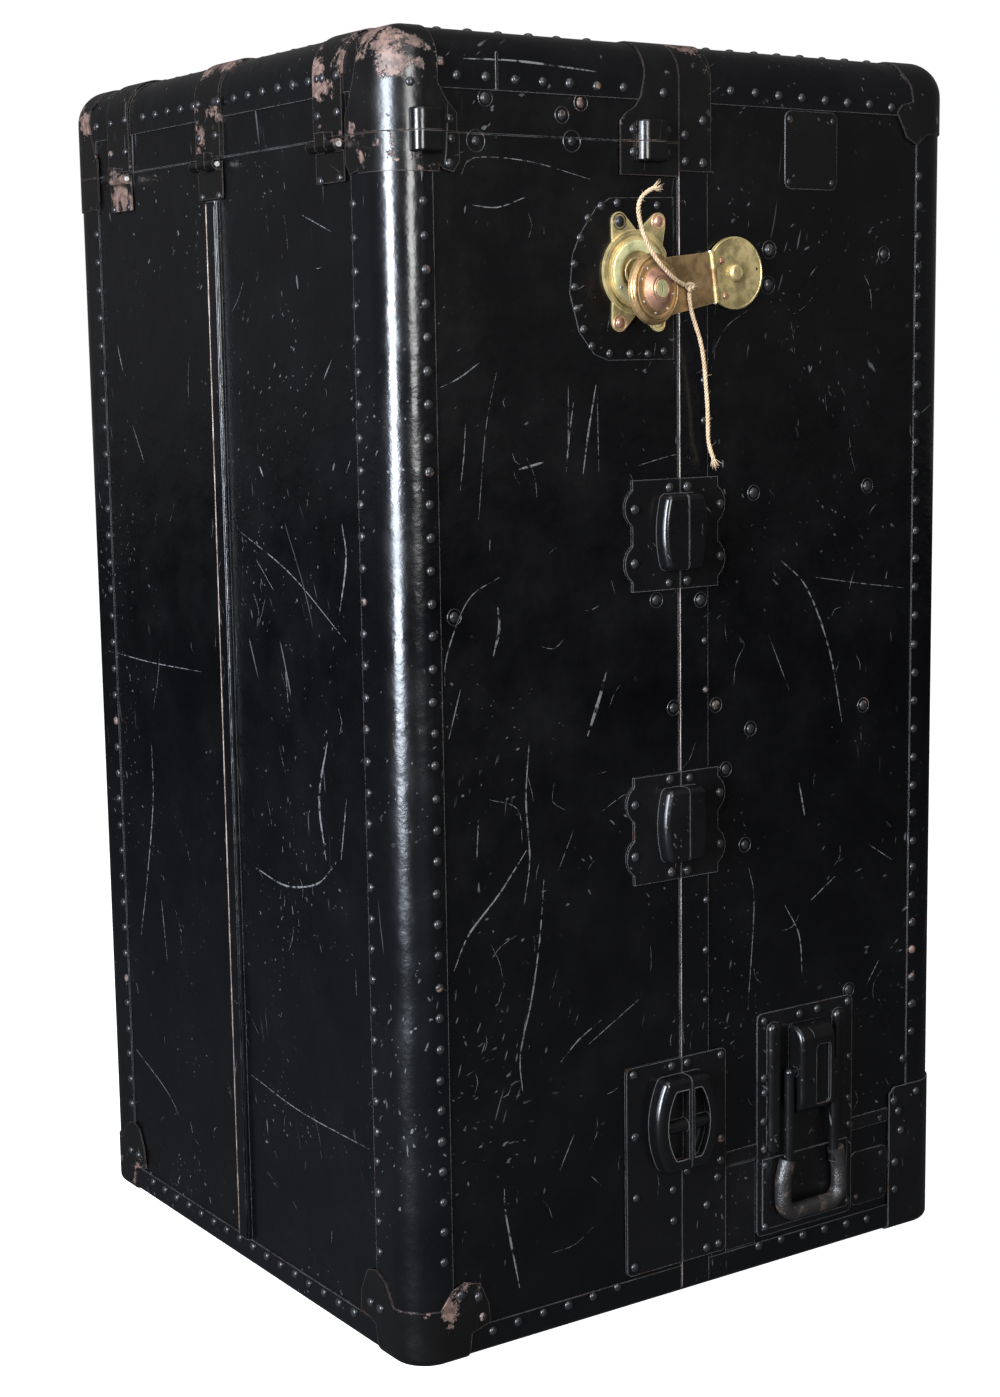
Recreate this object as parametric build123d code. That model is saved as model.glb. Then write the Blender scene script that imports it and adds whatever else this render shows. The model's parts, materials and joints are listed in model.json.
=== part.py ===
from build123d import *
import os
from math import pi, radians, tan

# Wardrobe trunk, standing on end. Millimetres, Z up, front face towards -Y.
# The pieces are drawn from the near bottom corner of the front face: x runs to the
# right along the front, y runs back, z runs up. move_home shifts them all at the end.

# Overall size
width = 592
depth = 580
height = 1076
seam_x = 278.5  # where the hanging half meets the drawer half
lid_h = 82.5
lid_z = height - lid_h  # where the lift-up lid of the hanging half starts
gap = 0.6  # between the two halves, and under the lid

# Skins, from the outside in
cap_t = 1.5  # corner caps lie over the bindings
skin = 1.5  # steel bindings lie over the panels
wall = 9
lining_t = 0.8
edge_r = 30  # rounded upright and top edges, over the bindings
foot_r = 6  # rounded bottom edges, over the bindings

# Bindings
leg_front = 39  # how far the upright bindings reach along the front and back
leg_side = 57  # how far they reach along the ends
leg_right = 43
bottom_leg = 26
bottom_reach = 40  # under the floor and over the top
top_leg = 48
band_w = 31  # closing band beside the seam
tongue_t = 1.5
tongue_out = 8
tongue_in = 14

# Hinges between the halves, at the back
back_pin_y = depth + 7
back_barrel_r = 5
back_pin_r = 2.5
back_hinge_h = 60
back_hinge_z = (150, 520, height - 186)
back_leaf_t = 2.5
back_leaf_w = 30

# Hinges of the lid, at the left end
lid_pin_x = -5.8
lid_pin_z = lid_z - 6
lid_barrel_r = 4.5
lid_pin_r = 2
lid_hinge_w = 44
band_y = depth / 2 - 1  # centre band up the left end
lid_hinge_y = (87, band_y + 2, depth - 111)
lid_leaf_t = 2.5

play = 0.3  # between pieces that move past one another
fit = 0.05  # radial clearance of a turning pin

# Lock and hasp
lock_x = seam_x - 44.5
lock_z = height - 187
lock_r = 34
lock_cut_x = seam_x - 14.5
lock_ring_r = 26.5
lock_recess_r = 17
lock_flange = 2.5
lock_ring = 4.0
patch_t = 0.8
disc_x = seam_x + 58.5
disc_r = 30
disc_t = 3
knuckle_x = disc_x - 27
knuckle_out = 6
knuckle_r = 4
knuckle_h = 42
hasp_pin_r = 1.6
strap_t = 2.5
cup_r = 29
cup_back = lock_ring + 0.4
cup_rim = 9
cup_top = 15
plug_r = 7
hasp_open = 11
hasp_droop = 8

# Dowels, the raised fittings that line the halves up
dowel_proud = 14
dowel_z = (height - 403, height - 653)
dowel_h = 93
dowel_w = 91
dowel_lobe_r = 18
dowel_pin_r = 6
lid_dowel_proud = 11
lid_dowel_x = (33, seam_x - 29.5)
lid_dowel_w = 29

# Handle
handle_x = 423
handle_z = 182
handle_w = 114
handle_low = 31
handle_high = 239
bail_half = 27
bail_r = 4.5
bail_out = 9
grip_z = 51
grip_w = 83
grip_r = 7.5
grip_top = 101

# Inside
shelf_z = 786
shelf_t = 8
drawer_rows = ((20, 226), (232, 412), (418, 598), (604, 780))
drawer_y = 22
drawer_front_x = seam_x + 9.5
drawer_back_x = width - 15
drawer_board = 8
runner_h = 14
rail_z = lid_z - 25.5
rail_y = (depth / 2 - 60, depth / 2 + 60)
rail_r = 5
rail_end = seam_x - 14.5
hang_z = rail_z - 30
hang_r = 7
hanger_half = 205

# String tied through the strap of the hasp
twine = 3.6
knot_x = lock_x + 38
knot_z = lock_z - 3.5
knot_r = 4.8


def block(x0, x1, y0, y1, z0, z1):
    return Pos((x0 + x1) / 2, (y0 + y1) / 2, (z0 + z1) / 2) * Box(x1 - x0, y1 - y0, z1 - z0)


def slab(points, axis, low, high):
    """A flat piece of this outline between two places along an axis."""
    spots = {
        "x": [(low, u, v) for u, v in points],
        "y": [(u, low, v) for u, v in points],
        "z": [(u, v, low) for u, v in points],
    }[axis]
    way = {"x": (1, 0, 0), "y": (0, 1, 0), "z": (0, 0, 1)}[axis]
    return extrude(make_face(Polyline(*spots, close=True)), high - low, dir=way)


def plate(x0, x1, z0, z1, y_out, y_in, r):
    """A flat plate on the front with rounded corners."""
    p = block(x0, x1, y_out, y_in, z0, z1)
    return fillet(p.edges().filter_by(Axis.Y), r)


def rod(start, end, r):
    """A round rod between two points."""
    a, b = Vector(*start), Vector(*end)
    way = (b - a).normalized()
    across = (0, 0, 1) if abs(way.Z) < 0.9 else (1, 0, 0)
    return extrude(Plane(origin=a, x_dir=way.cross(Vector(*across)), z_dir=way) * Circle(r), (b - a).length)


def at_back(piece):
    """The same piece on the back of the trunk."""
    return mirror(piece, about=Plane(origin=(0, depth / 2, 0), z_dir=(0, 1, 0)))


def group(*pieces):
    """Separate solids kept in one node."""
    solids = []
    for piece in pieces:
        solids += piece.solids()
    return Compound(solids)


def one(piece):
    """The largest solid of a cut piece."""
    return piece.solids().sort_by(SortBy.VOLUME)[-1]


def body(inset):
    """The outline of the whole closed trunk, this far inside the bindings."""
    b = block(inset, width - inset, inset, depth - inset, cap_t + inset, height - cap_t - inset)
    round_ones = b.edges().filter_by(Axis.Z) + b.faces().sort_by(Axis.Z)[-1].edges()
    b = fillet(round_ones, edge_r - inset)
    if foot_r > inset:
        b = fillet(b.faces().sort_by(Axis.Z)[0].edges(), foot_r - inset)
    return b


outside = body(-cap_t)
bound = body(0)
panel = body(skin)
inner = body(skin + wall)
lined = body(skin + wall + lining_t)
cap_layer = outside - bound
binding_layer = bound - panel
wall_layer = panel - inner
lining_layer = inner - lined

far = 60
seam_left = seam_x - gap / 2
seam_right = seam_x + gap / 2
lid_low = lid_z + gap / 2
case_high = lid_z - gap / 2
left_zone = block(-far, seam_left, -far, depth + far, -far, case_high)
lid_zone = block(-far, seam_left, -far, depth + far, lid_low, height + far)
right_zone = block(seam_right, width + far, -far, depth + far, -far, height + far)

parts = {}

# Panels: the hanging half, its lid and the drawer half
parts["left_shell"] = one(wall_layer & left_zone)
parts["lid_shell"] = one(wall_layer & lid_zone)
parts["right_shell"] = one(wall_layer & right_zone)
lining_left = block(-far, seam_left - tongue_in, -far, depth + far, -far, case_high - 2)
lining_right = block(seam_right + tongue_out + 2, width + far, -far, depth + far, -far, height + far)
parts["left_lining"] = one(lining_layer & lining_left)
parts["right_lining"] = one(lining_layer & lining_right)

# Closing tongue: a lip inside the hanging half that enters the drawer half
tongue = body(skin + wall) - body(skin + wall + tongue_t)
tongue_zone = block(seam_left - tongue_in + 0.2, seam_right + tongue_out, -far, depth + far, -far, case_high - 3)
tongue_all = one(tongue & tongue_zone)
entering = block(seam_left, seam_right + far, -far, depth + far, -far, height)
slim = one((body(skin + wall + play) - body(skin + wall + tongue_t)) & tongue_zone & entering)
parts["closing_tongue"] = one((tongue_all - entering) + slim)

# Bindings over the edges
front_back_left = block(-far, leg_front, -far, leg_side, bottom_leg, case_high)
left_corner = one(binding_layer & front_back_left)
parts["left_corner_bindings"] = group(left_corner, at_back(left_corner))


def under(x0, x1, reach_left, reach_right):
    """A bottom binding: up the walls a little and in under the floor."""
    hollow = block(
        x0 + reach_left, x1 - reach_right, bottom_reach, depth - bottom_reach, -far, far
    )
    return one((binding_layer & block(x0, x1, -far, depth + far, -far, bottom_leg)) - hollow)


parts["left_bottom_binding"] = under(-far, seam_left, far + bottom_reach, -far)
parts["right_bottom_binding"] = under(seam_right + band_w, width + far, -far, far + bottom_reach)

over_hollow = block(bottom_reach, seam_x + far, bottom_reach, depth - bottom_reach, height - far, height)
top_band = block(-far, seam_left, -far, depth + far, height - cap_t - top_leg, height)
lid_upright = block(-far, leg_front, -far, leg_side, lid_low, height)
lid_edges = top_band + lid_upright + at_back(lid_upright)
parts["lid_binding"] = one((binding_layer & lid_edges) - over_hollow)

band_zone = block(seam_right, seam_right + band_w, -far, depth + far, -far, height + far)
parts["closing_band"] = one(binding_layer & band_zone)

right_x = seam_right + band_w
right_hollow = block(seam_x, width - bottom_reach, bottom_reach, depth - bottom_reach, height - far, height)
right_top = block(right_x, width + far, -far, depth + far, height - cap_t - top_leg, height)
parts["right_top_binding"] = one((binding_layer & right_top) - right_hollow)
right_upright = block(
    width - leg_right, width + far, -far, leg_side, bottom_leg, height - cap_t - top_leg
)
right_corner = one(binding_layer & right_upright)
parts["right_corner_bindings"] = group(right_corner, at_back(right_corner))

# Corner caps: pressed plates bent round the corners over the bindings
reach = 44  # how deep a cap's front outline is followed round the corner
cap_floor = 52


def cap(front, side, floor, x_from):
    """A corner cap from its outlines on the front (x, z) and on the end (y, z)."""
    out = slab(front, "y", -far, reach) + slab(side, "x", *x_from)
    return one(cap_layer & (out + floor))


foot_front = [
    (-9, -9), (52, -9), (56, 22), (74.5, 27), (73, 44), (65, 63), (50, 67.5), (38, 63), (25, 46.5), (20, 48), (-9, 48),
]
foot_side = [
    (-9, -9), (52, -9), (58, 24), (82, 30), (80, 48), (70, 68), (56, 72), (42, 66), (30, 48), (-9, 48),
]
under_cap = block(-far, cap_floor, -far, cap_floor, -far, 4)
left_foot = cap(foot_front, foot_side, under_cap, (-far, reach))
parts["left_foot_caps"] = group(left_foot, at_back(left_foot))

right_plate_x = width - 65
foot_front_right = [
    (right_plate_x, -9), (width + 9, -9), (width + 9, 140), (right_plate_x + 6, 140), (right_plate_x, 134),
]
foot_side_right = [(-9, -9), (60, -9), (60, 134), (54, 140), (-9, 140)]
under_right = block(width - cap_floor, width + far, -far, cap_floor, -far, 4)
right_foot = cap(foot_front_right, foot_side_right, under_right, (width - reach, width + far))
parts["right_foot_caps"] = group(right_foot, at_back(right_foot))

lid_cap_front = [
    (-9, lid_low), (61, lid_low), (61, height - 68), (52, height - 59), (44, height - 46),
    (37, height - 30), (37, height - 20), (42, height - 13), (42, height + 9), (-9, height + 9),
]
lid_cap_side = [
    (-9, lid_low), (62, lid_low), (62, height - 68), (56, height - 58), (50, height - 44),
    (45, height - 30), (45, height - 20), (52, height - 13), (52, height + 9), (-9, height + 9),
]
over_cap = block(-far, 42, -far, 52, height - 4, height + far)
lid_cap = cap(lid_cap_front, lid_cap_side, over_cap, (-far, reach))

# The lid has a guard at its seam end too, drawn out to a shoulder round the dowel
guard_x = seam_x - 60
lid_guard_front = [
    (guard_x, lid_low), (guard_x, height - 67), (guard_x + 5, height - 61), (guard_x + 15, height - 55),
    (guard_x + 21, height - 47), (guard_x + 25, height - 30), (guard_x + 25, height + 9),
    (seam_left, height + 9), (seam_left, lid_low),
]
lid_guard = one(cap_layer & slab(lid_guard_front, "y", -far, 60))
parts["lid_caps"] = group(lid_cap, at_back(lid_cap), lid_guard, at_back(lid_guard))

right_cap_front = [
    (width + 9, height - 60), (width - 32, height - 65), (width - 44, height - 74),
    (width - 56, height - 68), (width - 68, height - 47), (width - 62, height - 40),
    (width - 49, height - 37), (width - 51, height - 24), (width - 57, height - 12),
    (width - 57, height + 9), (width + 9, height + 9),
]
right_cap_side = [
    (-9, height - 60), (22, height - 65), (34, height - 74), (48, height - 68), (60, height - 47),
    (52, height - 40), (44, height - 34), (46, height - 20), (52, height - 12), (52, height + 9), (-9, height + 9),
]
over_right = block(width - 57, width + far, -far, 52, height - 4, height + far)
right_cap = cap(right_cap_front, right_cap_side, over_right, (width - reach, width + far))
parts["right_top_caps"] = group(right_cap, at_back(right_cap))

collar_front = [
    (-9, case_high), (63, case_high), (63, lid_z - 22), (57, lid_z - 30), (48, lid_z - 28),
    (40, lid_z - 20), (30, lid_z - 24), (18, lid_z - 30), (-9, lid_z - 30),
]
collar_side = [
    (-9, case_high), (62, case_high), (62, lid_z - 22), (56, lid_z - 30), (46, lid_z - 28),
    (38, lid_z - 20), (28, lid_z - 24), (18, lid_z - 30), (-9, lid_z - 30),
]
collar = one(cap_layer & (slab(collar_front, "y", -far, reach) + slab(collar_side, "x", -far, reach)))
seam_collar = block(guard_x, seam_left, -cap_t, 0, lid_z - 27, case_high)
parts["lid_collars"] = group(collar, at_back(collar), seam_collar, at_back(seam_collar))

# Seam clamps: pressed guards round the top of the seam on the drawer half
clamp_w = 33.5
clamp_zone = block(seam_right, seam_right + clamp_w, -far, 60, height - 105, height + far)
clamp = one(cap_layer & clamp_zone)
parts["seam_clamps"] = group(clamp, at_back(clamp))

# Centre band up the left end
band_bar = block(-3.5, skin, band_y - 9, band_y + 9, bottom_leg, lid_z - 36)
parts["left_centre_band"] = fillet(
    band_bar.faces().sort_by(Axis.X)[0].edges().filter_by(Axis.Z), 3
)


# Lid hinges on the left end
def lid_barrel(y, y0, y1, hole):
    ring = rod((lid_pin_x, y + y0, lid_pin_z), (lid_pin_x, y + y1, lid_pin_z), lid_barrel_r)
    return ring - rod((lid_pin_x, y + y0 - 1, lid_pin_z), (lid_pin_x, y + y1 + 1, lid_pin_z), hole)


def lid_leaf_lower(y):
    half = lid_hinge_w / 2
    leaf = block(-1, skin, y - half, y + half, lid_z - 34, lid_pin_z + 3)
    for y0, y1 in ((-half, -half / 3 - play), (half / 3 + play, half)):
        link = block(lid_pin_x, 0, y + y0, y + y1, lid_pin_z - lid_barrel_r, lid_pin_z)
        link -= rod((lid_pin_x, y - half - 1, lid_pin_z), (lid_pin_x, y + half + 1, lid_pin_z), lid_pin_r)
        leaf += lid_barrel(y, y0, y1, lid_pin_r) + link
    return one(leaf - binding_layer)


def lid_leaf_upper(y):
    half = lid_hinge_w / 2
    zone = block(-far, 46, y - half, y + half, lid_low + 0.5, height + far)
    leaf = ((body(-lid_leaf_t) - body(0)) & zone) + ((binding_layer & zone) - parts["lid_binding"])
    link = block(
        lid_pin_x - lid_barrel_r, -1.3, y - half / 3, y + half / 3, lid_pin_z, lid_low + 4
    )
    link -= rod((lid_pin_x, y - half, lid_pin_z), (lid_pin_x, y + half, lid_pin_z), lid_pin_r + fit)
    leaf += lid_barrel(y, -half / 3, half / 3, lid_pin_r + fit) + link
    return one(leaf)


parts["lid_hinge_leaves_lower"] = group(*[lid_leaf_lower(y) for y in lid_hinge_y])
parts["lid_hinge_leaves_upper"] = group(*[lid_leaf_upper(y) for y in lid_hinge_y])
parts["lid_hinge_pins"] = group(*[
    rod((lid_pin_x, y - 23.5, lid_pin_z), (lid_pin_x, y + 23.5, lid_pin_z), lid_pin_r) for y in lid_hinge_y
])


# Hinges between the halves, at the back
def back_barrel(z0, z1, hole):
    ring = rod((seam_x, back_pin_y, z0), (seam_x, back_pin_y, z1), back_barrel_r)
    return ring - rod((seam_x, back_pin_y, z0 - 1), (seam_x, back_pin_y, z1 + 1), hole)


def back_link(x0, x1, z0, z1, hole):
    link = block(x0, x1, depth, back_pin_y - 1, z0, z1)
    return link - rod((seam_x, back_pin_y, z0 - 1), (seam_x, back_pin_y, z1 + 1), hole)


def back_leaf_left(z):
    half = back_hinge_h / 2
    leaf = block(seam_x - 6 - back_leaf_w, seam_x - 6, depth - skin, depth + back_leaf_t, z - half, z + half)
    for z0, z1 in ((z - half, z - half / 3 - play), (z + half / 3 + play, z + half)):
        leaf += back_barrel(z0, z1, back_pin_r) + back_link(seam_x - 8, seam_x - 1, z0, z1, back_pin_r)
    return one(leaf)


def back_leaf_right(z):
    half = back_hinge_h / 2
    leaf = block(seam_x + 6, right_x, depth, depth + back_leaf_t, z - half, z + half)
    z0, z1 = z - half / 3, z + half / 3
    leaf += back_barrel(z0, z1, back_pin_r + fit)
    return one(leaf + back_link(seam_x + 1, seam_x + 8, z0, z1, back_pin_r + fit))


parts["back_hinge_leaves_left"] = group(*[back_leaf_left(z) for z in back_hinge_z])
parts["back_hinge_leaves_right"] = group(*[back_leaf_right(z) for z in back_hinge_z])
parts["back_hinge_pins"] = group(*[
    rod((seam_x, back_pin_y, z - 31.5), (seam_x, back_pin_y, z + 31.5), back_pin_r) for z in back_hinge_z
])


# Lid dowels: boxed pressings astride the lid line, with a pin from below
def lid_dowel(x, low):
    half = lid_dowel_w / 2
    box = block(x - half, x + half, -lid_dowel_proud, 3, lid_z - 16, lid_z + 17)
    box = fillet(box.edges().filter_by(Axis.Z).group_by(Axis.Y)[0], 8)
    box = fillet(box.edges().filter_by(Axis.X).group_by(Axis.Y)[0], 2)
    box -= panel
    box -= block(-far, width, -far, depth, case_high, lid_low)
    for neighbour in ("left_corner_bindings", "lid_binding", "lid_caps", "lid_collars"):
        box -= parts[neighbour].solids()
    seam = block(-far, width, -far, depth, case_high, height)
    y = -lid_dowel_proud / 2 - 0.5
    if low:
        pin = rod((x, y, case_high - 3), (x, y, case_high + 5), 3)
        return one(one(box - seam) + pin)
    bore = rod((x, y, lid_z), (x, y, lid_z + 8), 3 + 0.9)
    return one((box & seam) - bore)


lows = [lid_dowel(x, True) for x in lid_dowel_x]
highs = [lid_dowel(x, False) for x in lid_dowel_x]
parts["lid_dowels_lower"] = group(*lows, *[at_back(p) for p in lows])
parts["lid_dowels_upper"] = group(*highs, *[at_back(p) for p in highs])


def bowed_boss(x, z, end, middle, half_h, proud, r):
    """A pressed boss whose sides bow out from each end to the middle."""
    low, high = z - half_h, z + half_h
    sides = [
        Polyline((x - end, 0, low), (x + end, 0, low)),
        ThreePointArc((x + end, 0, low), (x + middle, 0, z), (x + end, 0, high)),
        Polyline((x + end, 0, high), (x - end, 0, high)),
        ThreePointArc((x - end, 0, high), (x - middle, 0, z), (x - end, 0, low)),
    ]
    boss = extrude(make_face(sides), proud, dir=(0, -1, 0))
    boss = fillet(boss.edges().filter_by(Axis.Y), r)
    return fillet(boss.faces().sort_by(Axis.Y)[0].edges(), r - 1)


# Seam dowels: a pin on the hanging half enters the drawer half
def seam_dowel(z, left):
    mid_x = seam_x - 4.5
    base = block(mid_x - dowel_w / 2, mid_x + dowel_w / 2, -cap_t, skin, z - dowel_h / 2, z + dowel_h / 2)
    for side in (-1, 1):
        for rise in (-1, 1):
            x, high = mid_x + side * (dowel_w / 2 - 10), z + rise * dowel_h / 4
            base += rod((x, skin, high), (x, -cap_t, high), dowel_lobe_r)
    box = bowed_boss(seam_x - 1.5, z + 2, 19, 24, 32, dowel_proud, 6)
    whole = base + box
    y = -dowel_proud / 2
    if left:
        half = one(whole & block(0, seam_left, -far, far, 0, height))
        return one(half + rod((seam_left - 8, y, z), (seam_right + 11, y, z), dowel_pin_r - 1.5))
    half = one((whole & block(seam_right, width, -far, far, 0, height)) - binding_layer)
    return one(half - rod((seam_left, y, z), (seam_right + 13, y, z), dowel_pin_r - 0.9))


parts["seam_dowels_left"] = group(*[seam_dowel(z, True) for z in dowel_z])
parts["seam_dowels_right"] = group(*[seam_dowel(z, False) for z in dowel_z])

# Foot fitting: a tall plate with a domed, recessed boss astride the seam
foot_z = 161
foot_x = seam_x - 3
foot_plate = block(seam_x - 60.5, seam_x + 49.5, -cap_t, skin, 30, 217)
foot_plate = fillet(foot_plate.edges().filter_by(Axis.Y), 5)
boss = bowed_boss(foot_x, foot_z, 23, 34, 42, 16, 7)
boss -= Pos(0, -7, 0) * bowed_boss(foot_x, foot_z, 15, 25, 33, 9.5, 5)
boss += rod((foot_x - 27, -9, foot_z - 2), (foot_x + 27, -9, foot_z - 2), 6)
boss += block(seam_x - 3, seam_x + 3, -16, -6, foot_z - 34, foot_z + 34)
foot_all = foot_plate + boss
parts["foot_catch_left"] = one(foot_all & block(0, seam_left, -far, far, 0, height))
parts["foot_catch_right"] = one(
    (foot_all & block(seam_right, width, -far, far, 0, height)) - binding_layer
)

# Lock: a nailed patch, and the ringed base that the hasp closes on
patch_outline = [
    (40, 61), (-25, 59), (-39, 51), (-55, 30), (-63, 13), (-66, -17), (-57, -48), (-42, -66), (-28, -71), (40, -71),
]
patch_outline = [(lock_x + u, lock_z + v) for u, v in patch_outline]
parts["lock_backing"] = slab(patch_outline, "y", skin - patch_t, skin)
base_y = skin - patch_t


def disc(x, z, r, y_out, y_in):
    return rod((x, y_in, z), (x, y_out, z), r)


def ear(screw_x, rise):
    """A lug that narrows from the ring to the boss of its screw."""
    face = Plane(origin=(lock_x, base_y, lock_z), x_dir=(1, 0, 0), z_dir=(0, -1, 0))
    ends = Pos(screw_x, rise * ear_z) * Circle(7.5) + Pos(screw_x / 3, rise * 14) * Circle(18)
    return extrude(face * make_hull(ends.edges()), 1.8)


ear_z = 40.5
ear_plate = ear(-17, 1) + ear(23, 1) + ear(-17, -1) + ear(23, -1)
flange = disc(lock_x, lock_z, lock_r, -lock_flange, base_y)
ring = disc(lock_x, lock_z, lock_ring_r, -lock_ring, base_y)
base = ear_plate + flange + ring - disc(lock_x, lock_z, lock_recess_r, -9, -0.6)
base -= disc(lock_x, lock_z, 31, -9, -1.2) - disc(lock_x, lock_z, 28, -10, 0)
parts["lock_base"] = one(base & block(0, lock_cut_x, -far, far, 0, height))


# Hasp: a swivelling disc, a pin, a strap with a round end, and the key plug.
# The strap is drawn level and shut, then opened about its pin and let down about the disc.
def set_open(piece):
    pin = Axis((knuckle_x, -knuckle_out, lock_z), (0, 0, 1))
    return piece.rotate(pin, hasp_open)


def set_droop(piece):
    return piece.rotate(Axis((disc_x, 0, lock_z), (0, -1, 0)), hasp_droop)


def knuckle(z0, z1, hole):
    low, high = lock_z + z0, lock_z + z1
    ring = rod((knuckle_x, -knuckle_out, low), (knuckle_x, -knuckle_out, high), knuckle_r)
    return ring - rod((knuckle_x, -knuckle_out, low - 1), (knuckle_x, -knuckle_out, high + 1), hole)


pivot_r = 5
disc_low = -play  # back face of the disc, over the closing band
pivot = disc(disc_x, lock_z, pivot_r, -5, skin) + disc(disc_x, lock_z, 12, 0, skin)
dome = Pos(disc_x, -disc_t - 2 * play, lock_z) * Rot(90, 0, 0) * Cylinder(7.5, 4, align=(Align.CENTER, Align.CENTER, Align.MIN))
dome = fillet(dome.faces().sort_by(Axis.Y)[0].edges(), 3)
parts["hasp_pivot"] = one(pivot + dome - (binding_layer & band_zone))

edge_end = knuckle_h / 2
mid = edge_end / 3
plate_disc = disc(disc_x, lock_z, disc_r, disc_low - disc_t, disc_low)
tab = block(knuckle_x, disc_x, disc_low - disc_t, disc_low, lock_z - edge_end, lock_z + edge_end)
tab -= rod((knuckle_x, -knuckle_out, lock_z - 30), (knuckle_x, -knuckle_out, lock_z + 30), hasp_pin_r)
hasp_disc = plate_disc + tab - block(
    0, knuckle_x + knuckle_r + play, -far, far, lock_z - mid - play, lock_z + mid + play
)
hasp_disc -= block(0, knuckle_x - 1, -far, far, lock_z - 40, lock_z + 40)
for z0, z1 in ((-edge_end, -mid - play), (mid + play, edge_end)):
    hasp_disc += knuckle(z0, z1, hasp_pin_r)
hasp_disc -= disc(disc_x, lock_z, pivot_r + fit, -9, 9)
hasp_disc -= disc(disc_x + 24.5, lock_z, 1.6, -9, 9)
parts["hasp_disc"] = set_droop(one(hasp_disc))
pin = rod(
    (knuckle_x, -knuckle_out, lock_z - edge_end - 1), (knuckle_x, -knuckle_out, lock_z + edge_end + 1), hasp_pin_r
)
parts["hasp_pin"] = set_droop(pin)

strap_in = knuckle_out
strap = slab(
    [
        (knuckle_x - knuckle_r - play, lock_z - edge_end), (lock_x, lock_z - 24),
        (lock_x, lock_z + 24), (knuckle_x - knuckle_r - play, lock_z + edge_end),
    ],
    "y", -strap_in - strap_t, -strap_in,
)
lug = block(knuckle_x - knuckle_r - 2, knuckle_x, -strap_in - strap_t, -strap_in, lock_z - mid, lock_z + mid)
lug -= rod((knuckle_x, -knuckle_out, lock_z - 30), (knuckle_x, -knuckle_out, lock_z + 30), hasp_pin_r + fit)
cup = disc(lock_x, lock_z, cup_r, -cup_rim, -cup_back)
cup = fillet(cup.faces().sort_by(Axis.Y)[0].edges(), 2.5)
cup += disc(lock_x, lock_z, 24, -cup_rim - 2.2, -cup_back)
cup -= disc(lock_x, lock_z, 22, -20, -cup_rim - 1) - disc(lock_x, lock_z, 17.5, -20, 0)
cup -= disc(lock_x, lock_z, plug_r + fit, -20, 0)
hasp_strap = strap + lug + knuckle(-mid, mid, hasp_pin_r + fit) + cup
hasp_strap -= disc(lock_x, lock_z, plug_r + fit, -20, 0)
hasp_strap -= disc(knot_x, knot_z, twine / 2 + 0.3, -20, 0)
parts["hasp_strap"] = set_droop(set_open(one(hasp_strap)))
boss_dome = disc(lock_x, lock_z, 17, -cup_top, -cup_rim - 2.2)
boss_dome = chamfer(boss_dome.faces().sort_by(Axis.Y)[0].edges(), 3.2, 6)
boss_dome -= disc(lock_x, lock_z, plug_r + fit, -30, 0)
parts["hasp_dome"] = set_droop(set_open(one(boss_dome)))
plug = disc(lock_x, lock_z, plug_r, -cup_top - 0.8, -cup_back - 0.5)
plug -= block(lock_x - 0.7, lock_x + 0.7, -20, -cup_top + 4, lock_z - 4, lock_z + 4)
parts["lock_plug"] = set_droop(set_open(one(plug)))

# String: a knot through the strap and two loose ends, whose routes are in the same frame
knot = disc(knot_x, knot_z, twine / 2, -strap_in - strap_t - knot_r, -strap_in + 2)
knot += Pos(knot_x, -strap_in - strap_t - knot_r * 0.8, knot_z) * Sphere(knot_r)
knot += disc(knot_x, knot_z, 3.2, -strap_in, -strap_in + 2.6)
knot -= block(0, width, -strap_in - strap_t, -strap_in, 0, height) - disc(knot_x, knot_z, twine / 2, -50, 50)
parts["string_knot"] = set_droop(set_open(one(knot)))
string_up = [
    (36.5, -20.5, -11.5), (24.6, -24, -8.5), (11.1, -29, -1.5), (-2.6, -31, 8.9),
    (-10.7, -29, 21.7), (-16.2, -28, 35.7), (-20.4, -29, 50.6), (-14.9, -31.5, 62.0),
    (-3.7, -33, 65.8),
]
string_down = [
    (40.5, -19, -17.0), (42.1, -18.5, -29.5), (49.9, -16, -43.5), (57.6, -14, -58.5),
    (61.8, -12.5, -75.0), (64.4, -11.5, -91.9), (66.5, -11, -109.3), (67.5, -10.5, -126.3),
    (68.0, -10, -143.7), (75.5, -10, -157.7),
]


def cord_tube(points, thick):
    """A cord's tube: straight runs joined by arcs as large as the runs allow."""
    spots = [Vector(*p) for p in points]
    runs = [b - a for a, b in zip(spots, spots[1:])]
    radii = []
    for a, b in zip(runs, runs[1:]):
        radii.append(0.45 * min(a.length, b.length) / tan(radians(a.get_angle(b)) / 2))
    path = FilletPolyline(*spots, radius=radii)
    tube = sweep(Plane(origin=path @ 0, z_dir=path % 0) * Circle(thick / 2), path=path)
    print("cord radii", [round(r) for r in radii], "length", round(path.length, 1))
    print("cord volume over section times length", round(tube.volume / (pi * thick**2 / 4 * path.length), 4))
    return tube


def from_lock(points):
    return [(lock_x + x, y, lock_z + z) for x, y, z in points]


parts["string_upper"] = cord_tube(from_lock(string_up), twine)
parts["string_lower"] = cord_tube(from_lock(string_down), twine)

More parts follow.
